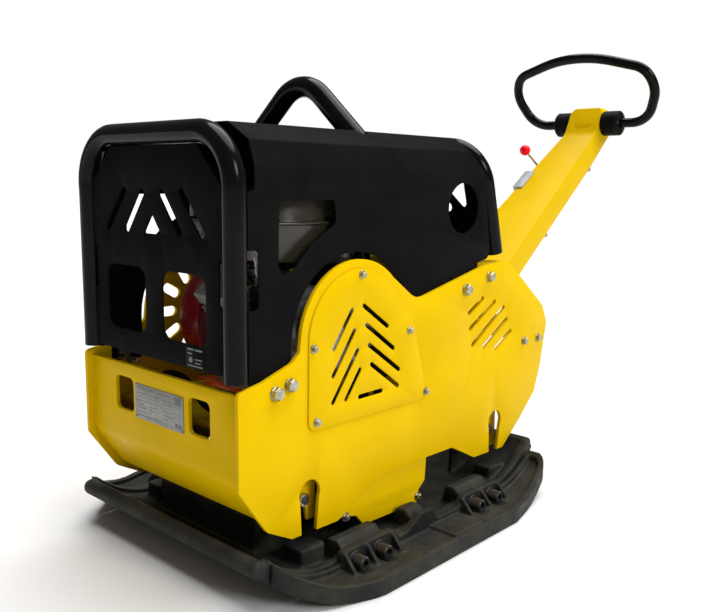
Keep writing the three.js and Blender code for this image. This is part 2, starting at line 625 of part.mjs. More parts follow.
// The box section is hollow from just above the hinge to just below the head, and open underneath.
const hollow = { from: 530, to: 1060 };
function hollowPlan(inset) {
  const { from, to } = hollow;
  return upward(200, 1100, [[-halfAt(from) + inset, from + inset], [halfAt(from) - inset, from + inset],
    [halfAt(to) - inset, to - inset], [-halfAt(to) + inset, to - inset]]);
}
const slopedSlab = (below, above) => along(-120, 120,
  [[400, lowerZ(400) + below], [1200, lowerZ(1200) + below],
  [1200, lowerZ(1200) + above], [400, lowerZ(400) + above]]);
const roofUnderside = upperZ(0) - lowerZ(0) - arm.wall * 1.2;

function armBlock() {
  const plan = [[-halfAt(380), 380], [halfAt(380), 380], [arm.headHalf, taperEnd], [arm.headHalf, 1250],
    [-arm.headHalf, 1250], [-arm.headHalf, taperEnd]];
  return along(-120, 120, armOutline()).intersect(upward(200, 1100, plan));
}
const armShape = armBlock();
add('drawbar_arm', cut(armShape, hollowPlan(arm.wall).intersect(slopedSlab(-20, roofUnderside)),
  rod(-130, 130, tilt.y, tilt.z, tilt.radius + 0.5, 20),
    rod(-60, 60, grip.y, grip.z, grip.radius + 0.5, 20)), yellow);
add('drawbar_cover', hollowPlan(arm.wall + GAP).intersect(slopedSlab(0, 5)), yellow);

add('drawbar_pivot', join(rod(-frame.inner + GAP, frame.inner - GAP, tilt.y, tilt.z, tilt.radius, 20),
  bothSides(rod(frame.inner - 14, frame.inner - GAP, tilt.y, tilt.z, 46, 24)),
  bothSides(rod(112, frame.inner - 10, tilt.y, tilt.z, 24, 20))), blackSteel);
add('drawbar_stop', rod(-frame.inner + GAP, frame.inner - GAP, 496, lowerZ(496) - 25, 15, 16), rubber);

// ---------------------------------------------------------------- control handle

add('handle_axle', rod(-arm.headHalf, arm.headHalf, grip.y, grip.z, grip.radius, 20), steel);
for (const side of SIDES) {
  const bush = rod(arm.headHalf + GAP, grip.bushEnd, grip.y, grip.z, grip.bush, 24);
  add(`handle_bush_${sideName(side)}`, side > 0 ? bush : mirrored(bush), rubber);
}

const leanBack = radians(grip.lean);
const toHandle = ([x, reach]) => new THREE.Vector3(
  x, grip.y - reach * Math.sin(leanBack), grip.z + reach * Math.cos(leanBack));
const loopEnd = grip.bushEnd + GAP;
add('handle_loop', bentBar([
  [loopEnd, 0], [190, 0, 75], [233, 108, 90], [204, 170, 60], [60, 214, 380],
  [-60, 214, 380], [-204, 170, 60], [-233, 108, 90], [-190, 0, 75], [-loopEnd, 0]],
grip.radius, toHandle, 10), blackSteel);

// ---------------------------------------------------------------- throttle

const slopeAngle = Math.atan(arm.slope);
function controlPanel() {
  const slit = 4;
  const shelf = join(box(-92, -50, -148, 20, -30, 4), box(-80, -50, -148, -66, 0, 40));
  const block = cut(shelf, box(lever.x - slit, lever.x + slit, -60, 15, -18, 5),
    rod(-88, -56, 0, 0, 4.4, 12));
  return block.rotate([THREE.MathUtils.radToDeg(slopeAngle), 0, 0]).translate([0, lever.y, lever.z]);
}
const nudges = [[0, 0, 0], [-GAP, 0, 0], [-GAP, 0, GAP], [-GAP, 0, -GAP]];
add('control_panel', cut(controlPanel(), ...nudges.map((by) => armShape.translate(by))), alloy);

function throttleLever() {
  const stick = solid(
    new THREE.CylinderGeometry(3.2, 3.2, lever.length, 8).translate(0, lever.length / 2, 0));
  const knob = solid(new THREE.SphereGeometry(15.5, 12, 8).translate(0, lever.length, 0));
  const upright = join(stick, knob, rod(-3, 3, 0, 0, 10, 16));
  return join(upright.rotate([lever.lean, 0, 0]), rod(-15, 11, 0, 0, 4, 10))
    .translate([lever.x, lever.y, lever.z]);
}
add('throttle_lever', throttleLever(), zinc);

add('data_plate', across(front.face - GAP - 1, front.face - GAP, rounded(-80, 74, 266, 333, 3)), plate);

export default compactor;
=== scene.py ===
"""Looks for a reversible plate compactor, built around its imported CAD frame.

Shapes are drawn in millimetres and stored in metres, in the frame's own axes:
+X is the belt side, -Y the front, +Z up, with the origin on the ground.
"""
import math

import bmesh
import bpy
from mathutils import Matrix, Vector


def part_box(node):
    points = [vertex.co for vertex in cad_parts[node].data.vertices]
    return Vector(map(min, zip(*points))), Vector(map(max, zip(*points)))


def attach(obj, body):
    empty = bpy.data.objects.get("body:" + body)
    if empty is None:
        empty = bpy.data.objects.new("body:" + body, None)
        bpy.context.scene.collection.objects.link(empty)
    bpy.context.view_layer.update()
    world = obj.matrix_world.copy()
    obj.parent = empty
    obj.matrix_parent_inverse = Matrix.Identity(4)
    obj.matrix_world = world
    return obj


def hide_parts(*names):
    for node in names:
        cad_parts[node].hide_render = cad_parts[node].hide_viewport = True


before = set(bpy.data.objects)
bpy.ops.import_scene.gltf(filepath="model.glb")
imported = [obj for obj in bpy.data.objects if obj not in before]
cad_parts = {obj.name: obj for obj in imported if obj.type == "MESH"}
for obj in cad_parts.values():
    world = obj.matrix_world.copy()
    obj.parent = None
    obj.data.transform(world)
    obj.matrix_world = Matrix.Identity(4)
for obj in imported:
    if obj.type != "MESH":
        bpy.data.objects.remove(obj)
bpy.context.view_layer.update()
scene = bpy.context.scene
MM = 0.001
SIDES = (1, -1)
SIDE_NAME = {1: "left", -1: "right"}


def span(node):
    """A CAD node's box in millimetres, as ((x0, x1), (y0, y1), (z0, z1))."""
    low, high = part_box(node)
    return [(low[i] / MM, high[i] / MM) for i in range(3)]


# ---- camera, floor and light

def aim(yaw, pitch, roll):
    """Camera axes for a view that is turned by yaw from +Y, looks down by pitch and rolls."""
    a, p, r = (math.radians(angle) for angle in (yaw, pitch, roll))
    back = Vector((math.sin(a) * math.cos(p), -math.cos(a) * math.cos(p), math.sin(p)))
    level = Vector((math.cos(a), math.sin(a), 0))
    up = back.cross(level)
    right = level * math.cos(r) + up * math.sin(r)
    return Matrix((right, back.cross(right), back)).transposed()


def make_camera():
    data = bpy.data.cameras.new("camera")
    data.sensor_width, data.lens = 36, 41.74
    data.shift_x, data.shift_y = -0.0128, 0.0043
    camera = bpy.data.objects.new("camera", data)
    camera.matrix_world = Matrix.Translation((1.240, -1.249, 0.717)) @ aim(42.5, 9.07, 0.77).to_4x4()
    scene.collection.objects.link(camera)
    scene.camera = camera


def sun(name, towards, strength, spread):
    """A soft lamp so far away that the floor is evenly lit, with its spread in degrees."""
    data = bpy.data.lights.new(name, "SUN")
    data.energy, data.angle = strength, math.radians(spread)
    lamp = bpy.data.objects.new(name, data)
    lamp.rotation_euler = Vector(towards).to_track_quat("Z", "Y").to_euler()
    scene.collection.objects.link(lamp)


def make_studio():
    """A pale floor, two soft suns, and a white world that lights the scene dimly."""
    scene.view_settings.view_transform = "Standard"
    world = bpy.data.worlds.new("studio")
    world.use_nodes = True
    nodes, links = world.node_tree.nodes, world.node_tree.links
    seen, dim = nodes["Background"], nodes.new("ShaderNodeBackground")
    seen.inputs["Color"].default_value = (1, 1, 1, 1)
    dim.inputs["Color"].default_value = (1.0, 0.90, 0.80, 1)
    dim.inputs["Strength"].default_value = 0.20
    which, mix = nodes.new("ShaderNodeLightPath"), nodes.new("ShaderNodeMixShader")
    links.new(which.outputs["Is Camera Ray"], mix.inputs[0])
    links.new(dim.outputs[0], mix.inputs[1])
    links.new(seen.outputs[0], mix.inputs[2])
    links.new(mix.outputs[0], nodes["World Output"].inputs["Surface"])
    scene.world = world
    sun("key", (3.0, 0.25, 1.7), 1.65, 22)
    sun("top", (0.0, 0.3, 1.0), 5.0, 60)
    bpy.ops.mesh.primitive_plane_add(size=80)
    floor = bpy.context.object
    floor.name = "floor"
    paint = bpy.data.materials.new("floor")
    paint.use_nodes = True
    shader = paint.node_tree.nodes["Principled BSDF"]
    shader.inputs["Base Color"].default_value = (0.66, 0.66, 0.66, 1)
    shader.inputs["Roughness"].default_value = 0.8
    shader.inputs["Specular IOR Level"].default_value = 0.1
    floor.data.materials.append(paint)


make_camera()
make_studio()


# ---- materials

class Look:
    """A procedural material on the Principled shader, with its patterns in the object's own space."""

    def __init__(self, name, metallic=0.0, specular=0.5, coat=0.0, coat_roughness=0.1):
        self.made = bpy.data.materials.new(name)
        self.made.use_nodes = True
        self.nodes, self.links = self.made.node_tree.nodes, self.made.node_tree.links
        self.shader = self.nodes["Principled BSDF"]
        settings = {"Metallic": metallic, "Specular IOR Level": specular, "Coat Weight": coat,
                    "Coat Roughness": coat_roughness}
        for key, number in settings.items():
            self.feed(self.shader.inputs[key], number)
        self.space = self.node("TexCoord").outputs["Object"]

    def feed(self, socket, value):
        """Links a socket to another one, or sets it to a number, a vector or a colour."""
        if isinstance(value, bpy.types.NodeSocket):
            self.links.new(value, socket)
        else:
            socket.default_value = value

    def node(self, kind, **inputs):
        """A new shader node with its inputs fed. In their names, _ stands for a space."""
        made = self.nodes.new("ShaderNode" + kind)
        for key, value in inputs.items():
            self.feed(made.inputs[key.replace("_", " ")], value)
        return made

    def noise(self, size, detail=3.0, roughness=0.55, stretch=None):
        """Noise whose blobs are about size millimetres across."""
        space = self.node("Mapping", Scale=stretch, Vector=self.space).outputs[0] if stretch else self.space
        node = self.node("TexNoise", Scale=1 / (size * MM), Detail=detail, Roughness=roughness, Vector=space)
        return node.outputs["Fac"]

    def cells(self, size):
        return self.node("TexVoronoi", Scale=1 / (size * MM), Vector=self.space).outputs["Distance"]

    def ramp(self, value, *stops):
        node = self.node("ValToRGB", Fac=value)
        elements = node.color_ramp.elements
        while len(elements) < len(stops):
            elements.new(0.5)
        for element, (place, colour) in zip(elements, stops):
            element.position = place
            element.color = (*colour, 1)
        return node.outputs["Color"]

    def remap(self, value, low, high, start=0.3, end=0.7):
        node = self.node("MapRange", Value=value, From_Min=start, From_Max=end, To_Min=low, To_Max=high)
        return node.outputs["Result"]

    def blend(self, share, first, second):
        node = self.node("Mix")
        node.data_type = "RGBA"
        for place, value in ((0, share), (6, first), (7, second)):
            self.feed(node.inputs[place], (*value, 1) if isinstance(value, tuple) else value)
        return node.outputs[2]

    def calculated(self, kind, operation, first, second):
        node = self.node(kind)
        node.operation = operation
        self.feed(node.inputs[0], first)
        self.feed(node.inputs[1], second)
        return node.outputs["Value"]

    def edges(self, reach):
        """1 along sharp edges and 0 on flat faces, from how a bevelled normal differs."""
        least, most = 0.02, 0.25
        bevel, surface = self.node("Bevel", Radius=reach * MM), self.node("NewGeometry")
        bevel.samples = 4
        normals = bevel.outputs["Normal"], surface.outputs["Normal"]
        alike = self.calculated("VectorMath", "DOT_PRODUCT", *normals)
        return self.remap(alike, 1.0, 0.0, 1 - most, 1 - least)

    def paint(self, colour, roughness):
        self.feed(self.shader.inputs["Base Color"], colour)
        self.feed(self.shader.inputs["Roughness"], roughness)

    def bump(self, *layers):
        """Stacks (height, depth in millimetres) layers into the shader's normal."""
        below = {}
        for height, depth in layers:
            node = self.node("Bump", Distance=depth * MM, Height=height, **below)
            below = {"Normal": node.outputs["Normal"]}
        self.feed(self.shader.inputs["Normal"], below["Normal"])


def powder_coat(name, dark, light, gloss, peel, worn_and_highlit=None, coat=0.0, specular=0.5):
    """Baked paint: faint clouds, orange peel, and lighter edges that are partly chipped wear and partly a
    painted highlight.
    """
    look = Look(name, specular=specular, coat=coat, coat_roughness=0.12)
    clouds = look.noise(90, 2)
    colour = look.ramp(clouds, (0.35, dark), (0.65, light))
    # Lighter colour on sharp edges, gated by chips: partly wear, partly a painted highlight.
    if worn_and_highlit:
        chips = look.remap(look.noise(7, 4), 0.0, 1.0, 0.5, 0.72)
        share = look.calculated("Math", "MULTIPLY", look.edges(1.4), chips)
        colour = look.blend(share, colour, worn_and_highlit)
    look.paint(colour, look.remap(look.noise(34, 4), *gloss))
    look.bump((look.noise(3.2, 2), peel), (look.noise(26, 1), peel * 1.6))
    return look.made


def cast_paint():
    """Black paint over sand-cast iron: pitted grain, and a brown-green bloom of dust on faces."""
    look = Look("cast_paint", specular=0.14)
    bloom = look.ramp(look.noise(55, 5), (0.36, (0.012, 0.013, 0.013)), (0.52, (0.019, 0.0195, 0.016)),
                      (0.70, (0.031, 0.032, 0.025)))
    speck = look.remap(look.noise(1.6, 3), 0.0, 0.35, 0.60, 0.80)
    # The lighter colour on sharp edges is partly rubbed wear and partly a painted highlight.
    worn_and_highlit = look.blend(look.edges(2.2), look.blend(speck, bloom, (0.07, 0.07, 0.06)), (0.06, 0.062, 0.06))
    look.paint(worn_and_highlit, look.remap(look.noise(18, 4), 0.42, 0.66))
    look.bump((look.noise(1.8, 4, 0.7), 0.35), (look.noise(9, 3), 0.7), (look.noise(40, 2), 1.2))
    return look.made


def bare_metal(name, dark, light, gloss, grain=(1, 1, 1), depth=0.05):
    look = Look(name, metallic=1.0)
    look.paint(look.ramp(look.noise(14, 4), (0.35, dark), (0.65, light)),
               look.remap(look.noise(6, 4, stretch=grain), *gloss))
    look.bump((look.noise(1.2, 3, stretch=grain), depth))
    return look.made


def moulded(name, dark, light, gloss, grain=0.9, depth=0.12, specular=0.4):
    look = Look(name, specular=specular)
    look.paint(look.ramp(look.noise(45, 3), (0.35, dark), (0.65, light)),
               look.remap(look.noise(12, 3), *gloss))
    look.bump((look.cells(grain), depth), (look.noise(20, 2), depth * 2))
    return look.made


# The colour after the peel depth lightens each paint's edges: partly wear, partly a painted highlight.
YELLOW = powder_coat("yellow_paint", (0.680, 0.440, 0.0), (0.710, 0.462, 0.001), (0.30, 0.38), 0.03,
                     (0.78, 0.54, 0.005), specular=0.03)
GUARD = powder_coat("guard_paint", (0.0058, 0.0058, 0.0062), (0.0076, 0.0076, 0.0081), (0.36, 0.50), 0.06,
                    (0.022, 0.023, 0.025), specular=0.007)
GLOSS_BLACK = powder_coat("gloss_black", (0.0025, 0.0025, 0.003), (0.004, 0.004, 0.0045), (0.12, 0.19), 0.03,
                          (0.014, 0.014, 0.015), specular=0.10)
CAST = cast_paint()
OXIDE = moulded("black_oxide", (0.012, 0.012, 0.013), (0.022, 0.022, 0.023), (0.32, 0.5), 0.5, 0.05, 0.6)
ZINC = bare_metal("zinc_plate", (0.30, 0.285, 0.21), (0.50, 0.485, 0.41), (0.20, 0.36))
STEEL = bare_metal("steel", (0.34, 0.34, 0.34), (0.48, 0.48, 0.49), (0.2, 0.4), (0.1, 1, 1))
ALLOY = bare_metal("cast_alloy", (0.42, 0.43, 0.44), (0.56, 0.57, 0.58), (0.42, 0.6), depth=0.3)
RUBBER = moulded("rubber", (0.004, 0.004, 0.004), (0.007, 0.007, 0.007), (0.48, 0.66), 1.2, 0.1, 0.05)
RED = powder_coat("blower_paint", (0.23, 0.006, 0.010), (0.33, 0.010, 0.014), (0.2, 0.34), 0.08,
                  (0.45, 0.04, 0.04), coat=0.3)
KNOB = powder_coat("knob_red", (0.84, 0.003, 0.014), (0.90, 0.004, 0.017), (0.12, 0.2), 0.02, specular=0.14)
PLASTIC = moulded("dark_plastic", (0.014, 0.014, 0.015), (0.024, 0.023, 0.022), (0.4, 0.55))
TANK = moulded("tank_plastic", (0.020, 0.0175, 0.012), (0.030, 0.026, 0.018), (0.2, 0.3), 2.0, 0.05, 0.5)
GREY = powder_coat("panel_grey", (0.30, 0.33, 0.37), (0.36, 0.39, 0.43), (0.3, 0.45), 0.05, (0.6, 0.6, 0.6))
ORANGE = moulded("wire_orange", (0.62, 0.07, 0.01), (0.75, 0.11, 0.01), (0.3, 0.45))
FOIL = bare_metal("plate_foil", (0.19, 0.19, 0.18), (0.24, 0.24, 0.23), (0.35, 0.5), (0.2, 1, 1), 0.02)
PRINT = moulded("plate_print", (0.10, 0.10, 0.10), (0.13, 0.13, 0.13), (0.45, 0.55))
DECAL = moulded("decal_dark", (0.005, 0.0055, 0.006), (0.008, 0.0085, 0.009), (0.25, 0.35), specular=0.02)
DECAL_PRINT = moulded("decal_print", (0.13, 0.13, 0.13), (0.18, 0.18, 0.18), (0.35, 0.45))


# ---- drawing helpers

def outline(corners, step=5):
    """A polygon from corners (a, b) or (a, b, radius); a radius rounds its corner with an arc."""
    points = []
    for i, corner in enumerate(corners):
        a, b, radius = (*corner, 0)[:3]
        at = Vector((a, b))
        if not radius:
            points.append(at)
            continue
        back = (Vector(corners[i - 1][:2]) - at).normalized()
        ahead = (Vector(corners[(i + 1) % len(corners)][:2]) - at).normalized()
        half = back.angle(ahead) / 2
        centre = at + (back + ahead).normalized() * radius / math.sin(half)
        start = at + back * radius / math.tan(half) - centre
        turn = (math.pi - 2 * half) * (1 if back.cross(ahead) < 0 else -1)
        steps = max(2, math.ceil(abs(turn) / math.radians(step)))
        points += [centre + Matrix.Rotation(turn * k / steps, 2) @ start for k in range(steps + 1)]
    return points


def arc(a, b, radius, start, end, step=5):
    steps = max(2, math.ceil(abs(end - start) / step))
    angles = [math.radians(start + (end - start) * k / steps) for k in range(steps + 1)]
    return [Vector((a + radius * math.cos(t), b + radius * math.sin(t))) for t in angles]


def circle(a, b, radius, step=7.5):
    return arc(a, b, radius, 0, 360 - step, step)


def rounded(a0, a1, b0, b1, radius):
    return outline([(a0, b0, radius), (a1, b0, radius), (a1, b1, radius), (a0, b1, radius)], 10)


def slot(start, end, width):
    """A slot between two points that its round ends just reach."""
    angle = math.degrees(math.atan2(end[1] - start[1], end[0] - start[0]))
    inset = (Vector(end) - Vector(start)).normalized() * width / 2
    far, near = Vector(end) - inset, Vector(start) + inset
    return [*arc(*far, width / 2, angle - 90, angle + 90, 15),
            *arc(*near, width / 2, angle + 90, angle + 270, 15)]


def flipped(points):
    return [Vector((-a, b)) for a, b, *_ in points][::-1]


def both_sides(half):
    """Corners on one side and then their mirror images. One on the middle line is not repeated."""
    return [*half, *[(-a, *rest) for a, *rest in half[::-1] if a]]


def area(points):
    return sum(p[0] * q[1] - q[0] * p[1] for p, q in zip(points, [*points[1:], points[0]])) / 2


def shifted(points, distance):
    """A closed outline moved to its left by a distance."""
    moved = []
    for i, at in enumerate(points):
        before = (at - points[i - 1]).normalized()
        after = (points[(i + 1) % len(points)] - at).normalized()
        first, second = (Vector((-way.y, way.x)) for way in (before, after))
        moved.append(at + (first + second) * distance / max(0.3, 1 + first.dot(second)))
    return moved


ALONG = lambda a, b, h: (h, a, b)
ACROSS = lambda a, b, h: (a, h, b)
UPWARD = lambda a, b, h: (a, b, h)


def new_object(name, mesh):
    thing = bpy.data.objects.new(name, mesh)
    scene.collection.objects.link(thing)
    return thing


def from_bmesh(shape, name="shape"):
    """An object from a bmesh, with touching points joined and faces turned outwards."""
    bmesh.ops.remove_doubles(shape, verts=shape.verts, dist=1e-7)
    bmesh.ops.recalc_face_normals(shape, faces=shape.faces)
    mesh = bpy.data.meshes.new(name)
    shape.to_mesh(mesh)
    shape.free()
    return new_object(name, mesh)


def add_walls(shape, rings):
    """Joins each ring of points to the next one with four-sided faces."""
    for lower, upper in zip(rings, rings[1:]):
        for i in range(len(lower)):
            j = (i + 1) % len(lower)
            shape.faces.new((lower[i], lower[j], upper[j], upper[i]))


def slab(points, low, high, place, edge=0.0, holes=()):
    """A flat piece between two heights, with its rims rounded over by edge, as an object."""
    shape = bmesh.new()
    loops = [points if area(points) > 0 else points[::-1]]
    loops += [hole if area(hole) < 0 else hole[::-1] for hole in holes]
    layers = [(0, low), (0, high)]
    if edge:
        layers = [(edge, low), (edge * 0.3, low + edge * 0.3), (0, low + edge),
                  (0, high - edge), (edge * 0.3, high - edge * 0.3), (edge, high)]
    rims = ([], [])
    for loop in loops:
        loop = [Vector(point) for point in loop]
        rings = []
        for inset, height in layers:
            ring = shifted(loop, inset) if inset else loop
            rings.append([shape.verts.new(Vector(place(p.x, p.y, height)) * MM) for p in ring])
        add_walls(shape, rings)
        for rim, ring in zip(rims, (rings[0], rings[-1])):
            rim.append(ring)
    for rim in rims:
        if len(rim) == 1:
            shape.faces.new(rim[0])
        else:
            borders = [shape.edges.get((ring[i - 1], ring[i])) for ring in rim for i in range(len(ring))]
            bmesh.ops.triangle_fill(shape, use_beauty=True, edges=borders)
    return from_bmesh(shape)


def block(x0, x1, y0, y1, z0, z1, radius=2.0, edge=1.0):
    return slab(rounded(x0, x1, y0, y1, radius), z0, z1, UPWARD, edge)


def basis(axis):
    """Two directions square to an axis of length 1."""
    side = Vector((0, 0, 1)) if abs(axis.z) < 0.9 else Vector((0, 1, 0))
    first = side.cross(axis).normalized()
    return first, axis.cross(first)


def turned(at, axis, profile, sides=32, shape_at=None):
    """A closed solid of revolution from (distance along the axis, radius) pairs."""
    shape = bmesh.new()
    axis = Vector(axis).normalized()
    first, second = basis(axis)
    rings = []
    for reach, radius in profile:
        ring = []
        for i in range(sides):
            t = 2 * math.pi * i / sides
            r = radius * (shape_at(t, reach, radius) if shape_at else 1)
            ring.append(shape.verts.new(
                (Vector(at) + axis * reach + (first * math.cos(t) + second * math.sin(t)) * r) * MM))
        rings.append(ring)
    add_walls(shape, rings)
    shape.faces.new(rings[0][::-1])
    shape.faces.new(rings[-1])
    return from_bmesh(shape, "turned")


def rod(x0, x1, y, z, radius, edge=1.0):
    """A round solid along X, with its two rims rounded over by edge."""
    length, part = x1 - x0, edge * 0.3
    return turned((x0, y, z), (1, 0, 0), [
        (0, radius - edge), (part, radius - part), (edge, radius),
        (length - edge, radius), (length - part, radius - part), (length, radius - edge)], 40)


def bar(points, radius, sides=24):
    """A round bar or hose along points in millimetres, with closed ends."""
    curve = bpy.data.curves.new("bar", "CURVE")
    curve.dimensions, curve.bevel_depth, curve.use_fill_caps = "3D", radius * MM, True
    curve.bevel_resolution = sides // 4 - 1
    curve.twist_mode = "MINIMUM"
    spline = curve.splines.new("POLY")
    spline.points.add(len(points) - 1)
    for knot, at in zip(spline.points, points):
        knot.co = (*(Vector(at) * MM), 1)
    made = new_object("bar", curve)
    shape = bmesh.new()
    shape.from_mesh(bpy.data.meshes.new_from_object(made))
    bpy.data.objects.remove(made)
    return from_bmesh(shape, "bar")


def smooth_path(points, steps=8):
    """A Catmull-Rom line through points."""
    points = [Vector(p) for p in points]
    padded = [points[0] * 2 - points[1], *points, points[-1] * 2 - points[-2]]
    path = []
    for a, b, c, d in zip(padded, padded[1:], padded[2:], padded[3:]):
        for k in range(steps):
            t = k / steps
            path.append(0.5 * (2 * b + (c - a) * t + (2 * a - 5 * b + 4 * c - d) * t * t
                               + (3 * b - a - 3 * c + d) * t ** 3))
    return [*path, points[-1]]


def bake(thing):
    """Applies the modifiers of an object to its own mesh."""
    mesh = bpy.data.meshes.new_from_object(thing.evaluated_get(bpy.context.evaluated_depsgraph_get()))
    thing.modifiers.clear()
    thing.data = mesh
    return thing


def boolean(body, tools, operation):
    for tool in tools:
        modifier = body.modifiers.new("boolean", "BOOLEAN")
        modifier.operation, modifier.solver, modifier.object = operation, "MANIFOLD", tool
    bake(body)
    for tool in tools:
        bpy.data.objects.remove(tool)
    return body


def cut(body, *tools):
    return boolean(body, tools, "DIFFERENCE")


def union(body, *parts):
    return boolean(body, parts, "UNION")


def common(body, *parts):
    return boolean(body, parts, "INTERSECT")


def mirrored(thing):
    mesh = thing.data.copy()
    mesh.transform(Matrix.Scale(-1, 4, (1, 0, 0)))
    mesh.flip_normals()
    return new_object(thing.name, mesh)


def for_side(thing, side):
    if side > 0:
        return thing
    other = mirrored(thing)
    bpy.data.objects.remove(thing)
    return other


def merged(*things):
    """Several solids in one object, left as separate shells."""
    shape = bmesh.new()
    for thing in things:
        shape.from_mesh(thing.data)
        bpy.data.objects.remove(thing)
    mesh = bpy.data.meshes.new("merged")
    shape.to_mesh(mesh)
    shape.free()
    return new_object("merged", mesh)


def copied(node):
    """A CAD node's shape as a new object, with its flat faces whole again."""
    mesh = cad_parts[node].data.copy()
    mesh.materials.clear()
    shape = bmesh.new()
    shape.from_mesh(mesh)
    bmesh.ops.remove_doubles(shape, verts=shape.verts, dist=1e-6)
    bmesh.ops.dissolve_limit(shape, angle_limit=math.radians(1), verts=shape.verts, edges=shape.edges)
    shape.to_mesh(mesh)
    shape.free()
    return new_object(node, mesh)


def rounded_over(thing, edge, segments=2, angle=32):
    modifier = thing.modifiers.new("edges", "BEVEL")
    modifier.width, modifier.segments = edge * MM, segments
    modifier.limit_method, modifier.angle_limit = "ANGLE", math.radians(angle)
    modifier.miter_outer = "MITER_ARC"
    return bake(thing)


def as_cast(thing, voxel, passes):
    """Remeshes a solid and relaxes it, so that its edges and inner corners run out in fillets."""
    remesh = thing.modifiers.new("remesh", "REMESH")
    remesh.mode, remesh.voxel_size = "VOXEL", voxel * MM
    relax = thing.modifiers.new("relax", "SMOOTH")
    relax.factor, relax.iterations = 0.5, passes
    return bake(thing)


def piece(name, thing, look, body="chassis", nodes=(), angle=35):
    """Names a finished object, paints it, shades it and lets it ride on its body."""
    thing.name = thing.data.name = name
    thing.data.materials.clear()
    thing.data.materials.append(look)
    thing.data.shade_smooth()
    if angle:
        thing.data.set_sharp_from_angle(angle=math.radians(angle))
    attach(thing, body)
    if nodes:
        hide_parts(*nodes)
    return thing


def softened(node, look, body="chassis", edge=1.0, segments=2):
    """A CAD node's own shape, with its edges rounded over."""
    return piece(f"{node}_skin", rounded_over(copied(node), edge, segments), look, body, [node])


def hexagon(t, reach, radius):
    """Makes a turned ring six-sided, with its flats at the given radius."""
    return 1 / math.cos((t + math.pi / 6) % (math.pi / 3) - math.pi / 6)


def hex_bolt(at, axis, flats, head, washer=0.0):
    """A hex head, its chamfer and the washer under it."""
    axis = Vector(axis).normalized()
    parts, base = [], Vector(at)
    if washer:
        parts.append(turned(base, axis, [(0, washer), (1.6, washer), (2.0, washer - 0.4)], 36))
        base = base + axis * 2.0
    half = flats / 2
    limit = half * 0.95

    def faceted(t, reach, radius):
        return min(hexagon(t, reach, radius), 1.10 if reach > head * 0.82 else 2)

    parts.append(turned(base, axis, [(0, half * 0.99), (0.3, half), (head * 0.80, half)], 36, hexagon))
    parts.append(turned(base, axis, [(head * 0.80, half), (head * 0.90, half * 0.985), (head, limit * 0.94)],
                        36, faceted))
    parts.append(turned(base, axis, [(head - 0.2, limit * 0.7), (head + 0.25, limit * 0.66)], 24))
    return merged(*parts)


def dome_bolt(at, axis, radius, head):
    """A low domed head with a round hollow in it."""
    rise = [(head * math.sin(t), radius * math.cos(t)) for t in (0, 0.25, 0.5, 0.75, 1.0)]
    hollow = radius * 0.42
    return turned(at, axis, [*rise, (head * 0.9, hollow * 1.15), (head * 0.35, hollow * 0.9)], 36)


def set_of_bolts(name, bolts, look=ZINC, body="chassis"):
    return piece(name, merged(*bolts), look, body, angle=28)


# ---- base plate and extension plates

BASE_HALF, BASE_THICK, LIP, REAR_LIP = 280, 24, 16, 14
FRONT = {"start": -276, "radius": 230, "angle": 44.5}
REAR = {"start": 232, "radius": 235, "angle": 52}
BOLT_Y, BOLT_Z, BOLT_HOLE = (-226, -161, 144, 210), 34, 8.6
MOUNT_Y, MOUNT_Z = {"front": -279, "rear": 319}, 140
KNURLS = 96


def sledge(thick, rear=REAR):
    """Side view of a plate that is flat in the middle and curves up at both ends."""
    under = arc(rear["start"], rear["radius"], rear["radius"], -90, -90 + rear["angle"])
    over = arc(rear["start"], rear["radius"], rear["radius"] - thick, -90 + rear["angle"], -90)
    back = arc(FRONT["start"], FRONT["radius"], FRONT["radius"] - thick, -90, -90 - FRONT["angle"])
    down = arc(FRONT["start"], FRONT["radius"], FRONT["radius"], -90 - FRONT["angle"], -90)
    return [*under, *over, *back, *down]


def lip_centre(end, sign):
    reach, angle = end["radius"] - BASE_THICK / 2, math.radians(end["angle"])
    return end["start"] + sign * reach * math.sin(angle), end["radius"] - reach * math.cos(angle)


def make_base_plate():
    """A cast sledge with a box-shaped tower at each end, side rims, bolt bosses and pads."""
    half, tower_half, wall, top = BASE_HALF, 150, 12, 205
    parts = [rod(-half + 5, half - 5, *lip_centre(FRONT, -1), LIP, 7),
             rod(-half + 5, half - 5, *lip_centre(REAR, 1), REAR_LIP, 6),
             slab(rounded(-tower_half, tower_half, -338, -338 + wall, 3), 18, top, UPWARD),
             slab(rounded(-tower_half, tower_half, 366, 366 + wall, 3), 56, top, UPWARD)]
    front_wall = outline([(-338, 20), (-232, 20), (-232, 160, 40), (-262, top, 30), (-338, top)])
    rear_wall = outline([(272, 20), (325, 32), (378, 56), (378, top), (302, top, 30), (272, 160, 40)])
    boss = outline([(230, 20), (240, 62, 8), (264, 64, 6), (280, 50, 3), (280, 20)])
    for side in SIDES:
        inner, outer = sorted((side * (tower_half - wall), side * tower_half))
        parts += [slab(front_wall, inner, outer, ALONG), slab(rear_wall, inner, outer, ALONG)]
        parts.append(for_side(slab(sledge(34), 262, half, ALONG), side))
        parts += [for_side(slab(boss, *reach, ACROSS), side)
                  for reach in ((-240, -130), (-44, 6), (122, 230))]
        parts += [for_side(slab(rounded(200, 246, y - 30, y + 30, 6), 20, 58, UPWARD), side)
                  for y in MOUNT_Y.values()]
    plate = union(slab(sledge(BASE_THICK), -half, half, ALONG), *parts)
    holes = [rod(248, half + 5, y, BOLT_Z, BOLT_HOLE) for y in BOLT_Y]
    holes += [mirrored(hole) for hole in holes]
    casting = as_cast(cut(plate, *holes), 3.2, 2)
    piece("base_casting", casting, CAST, nodes=["base_plate"], angle=60)


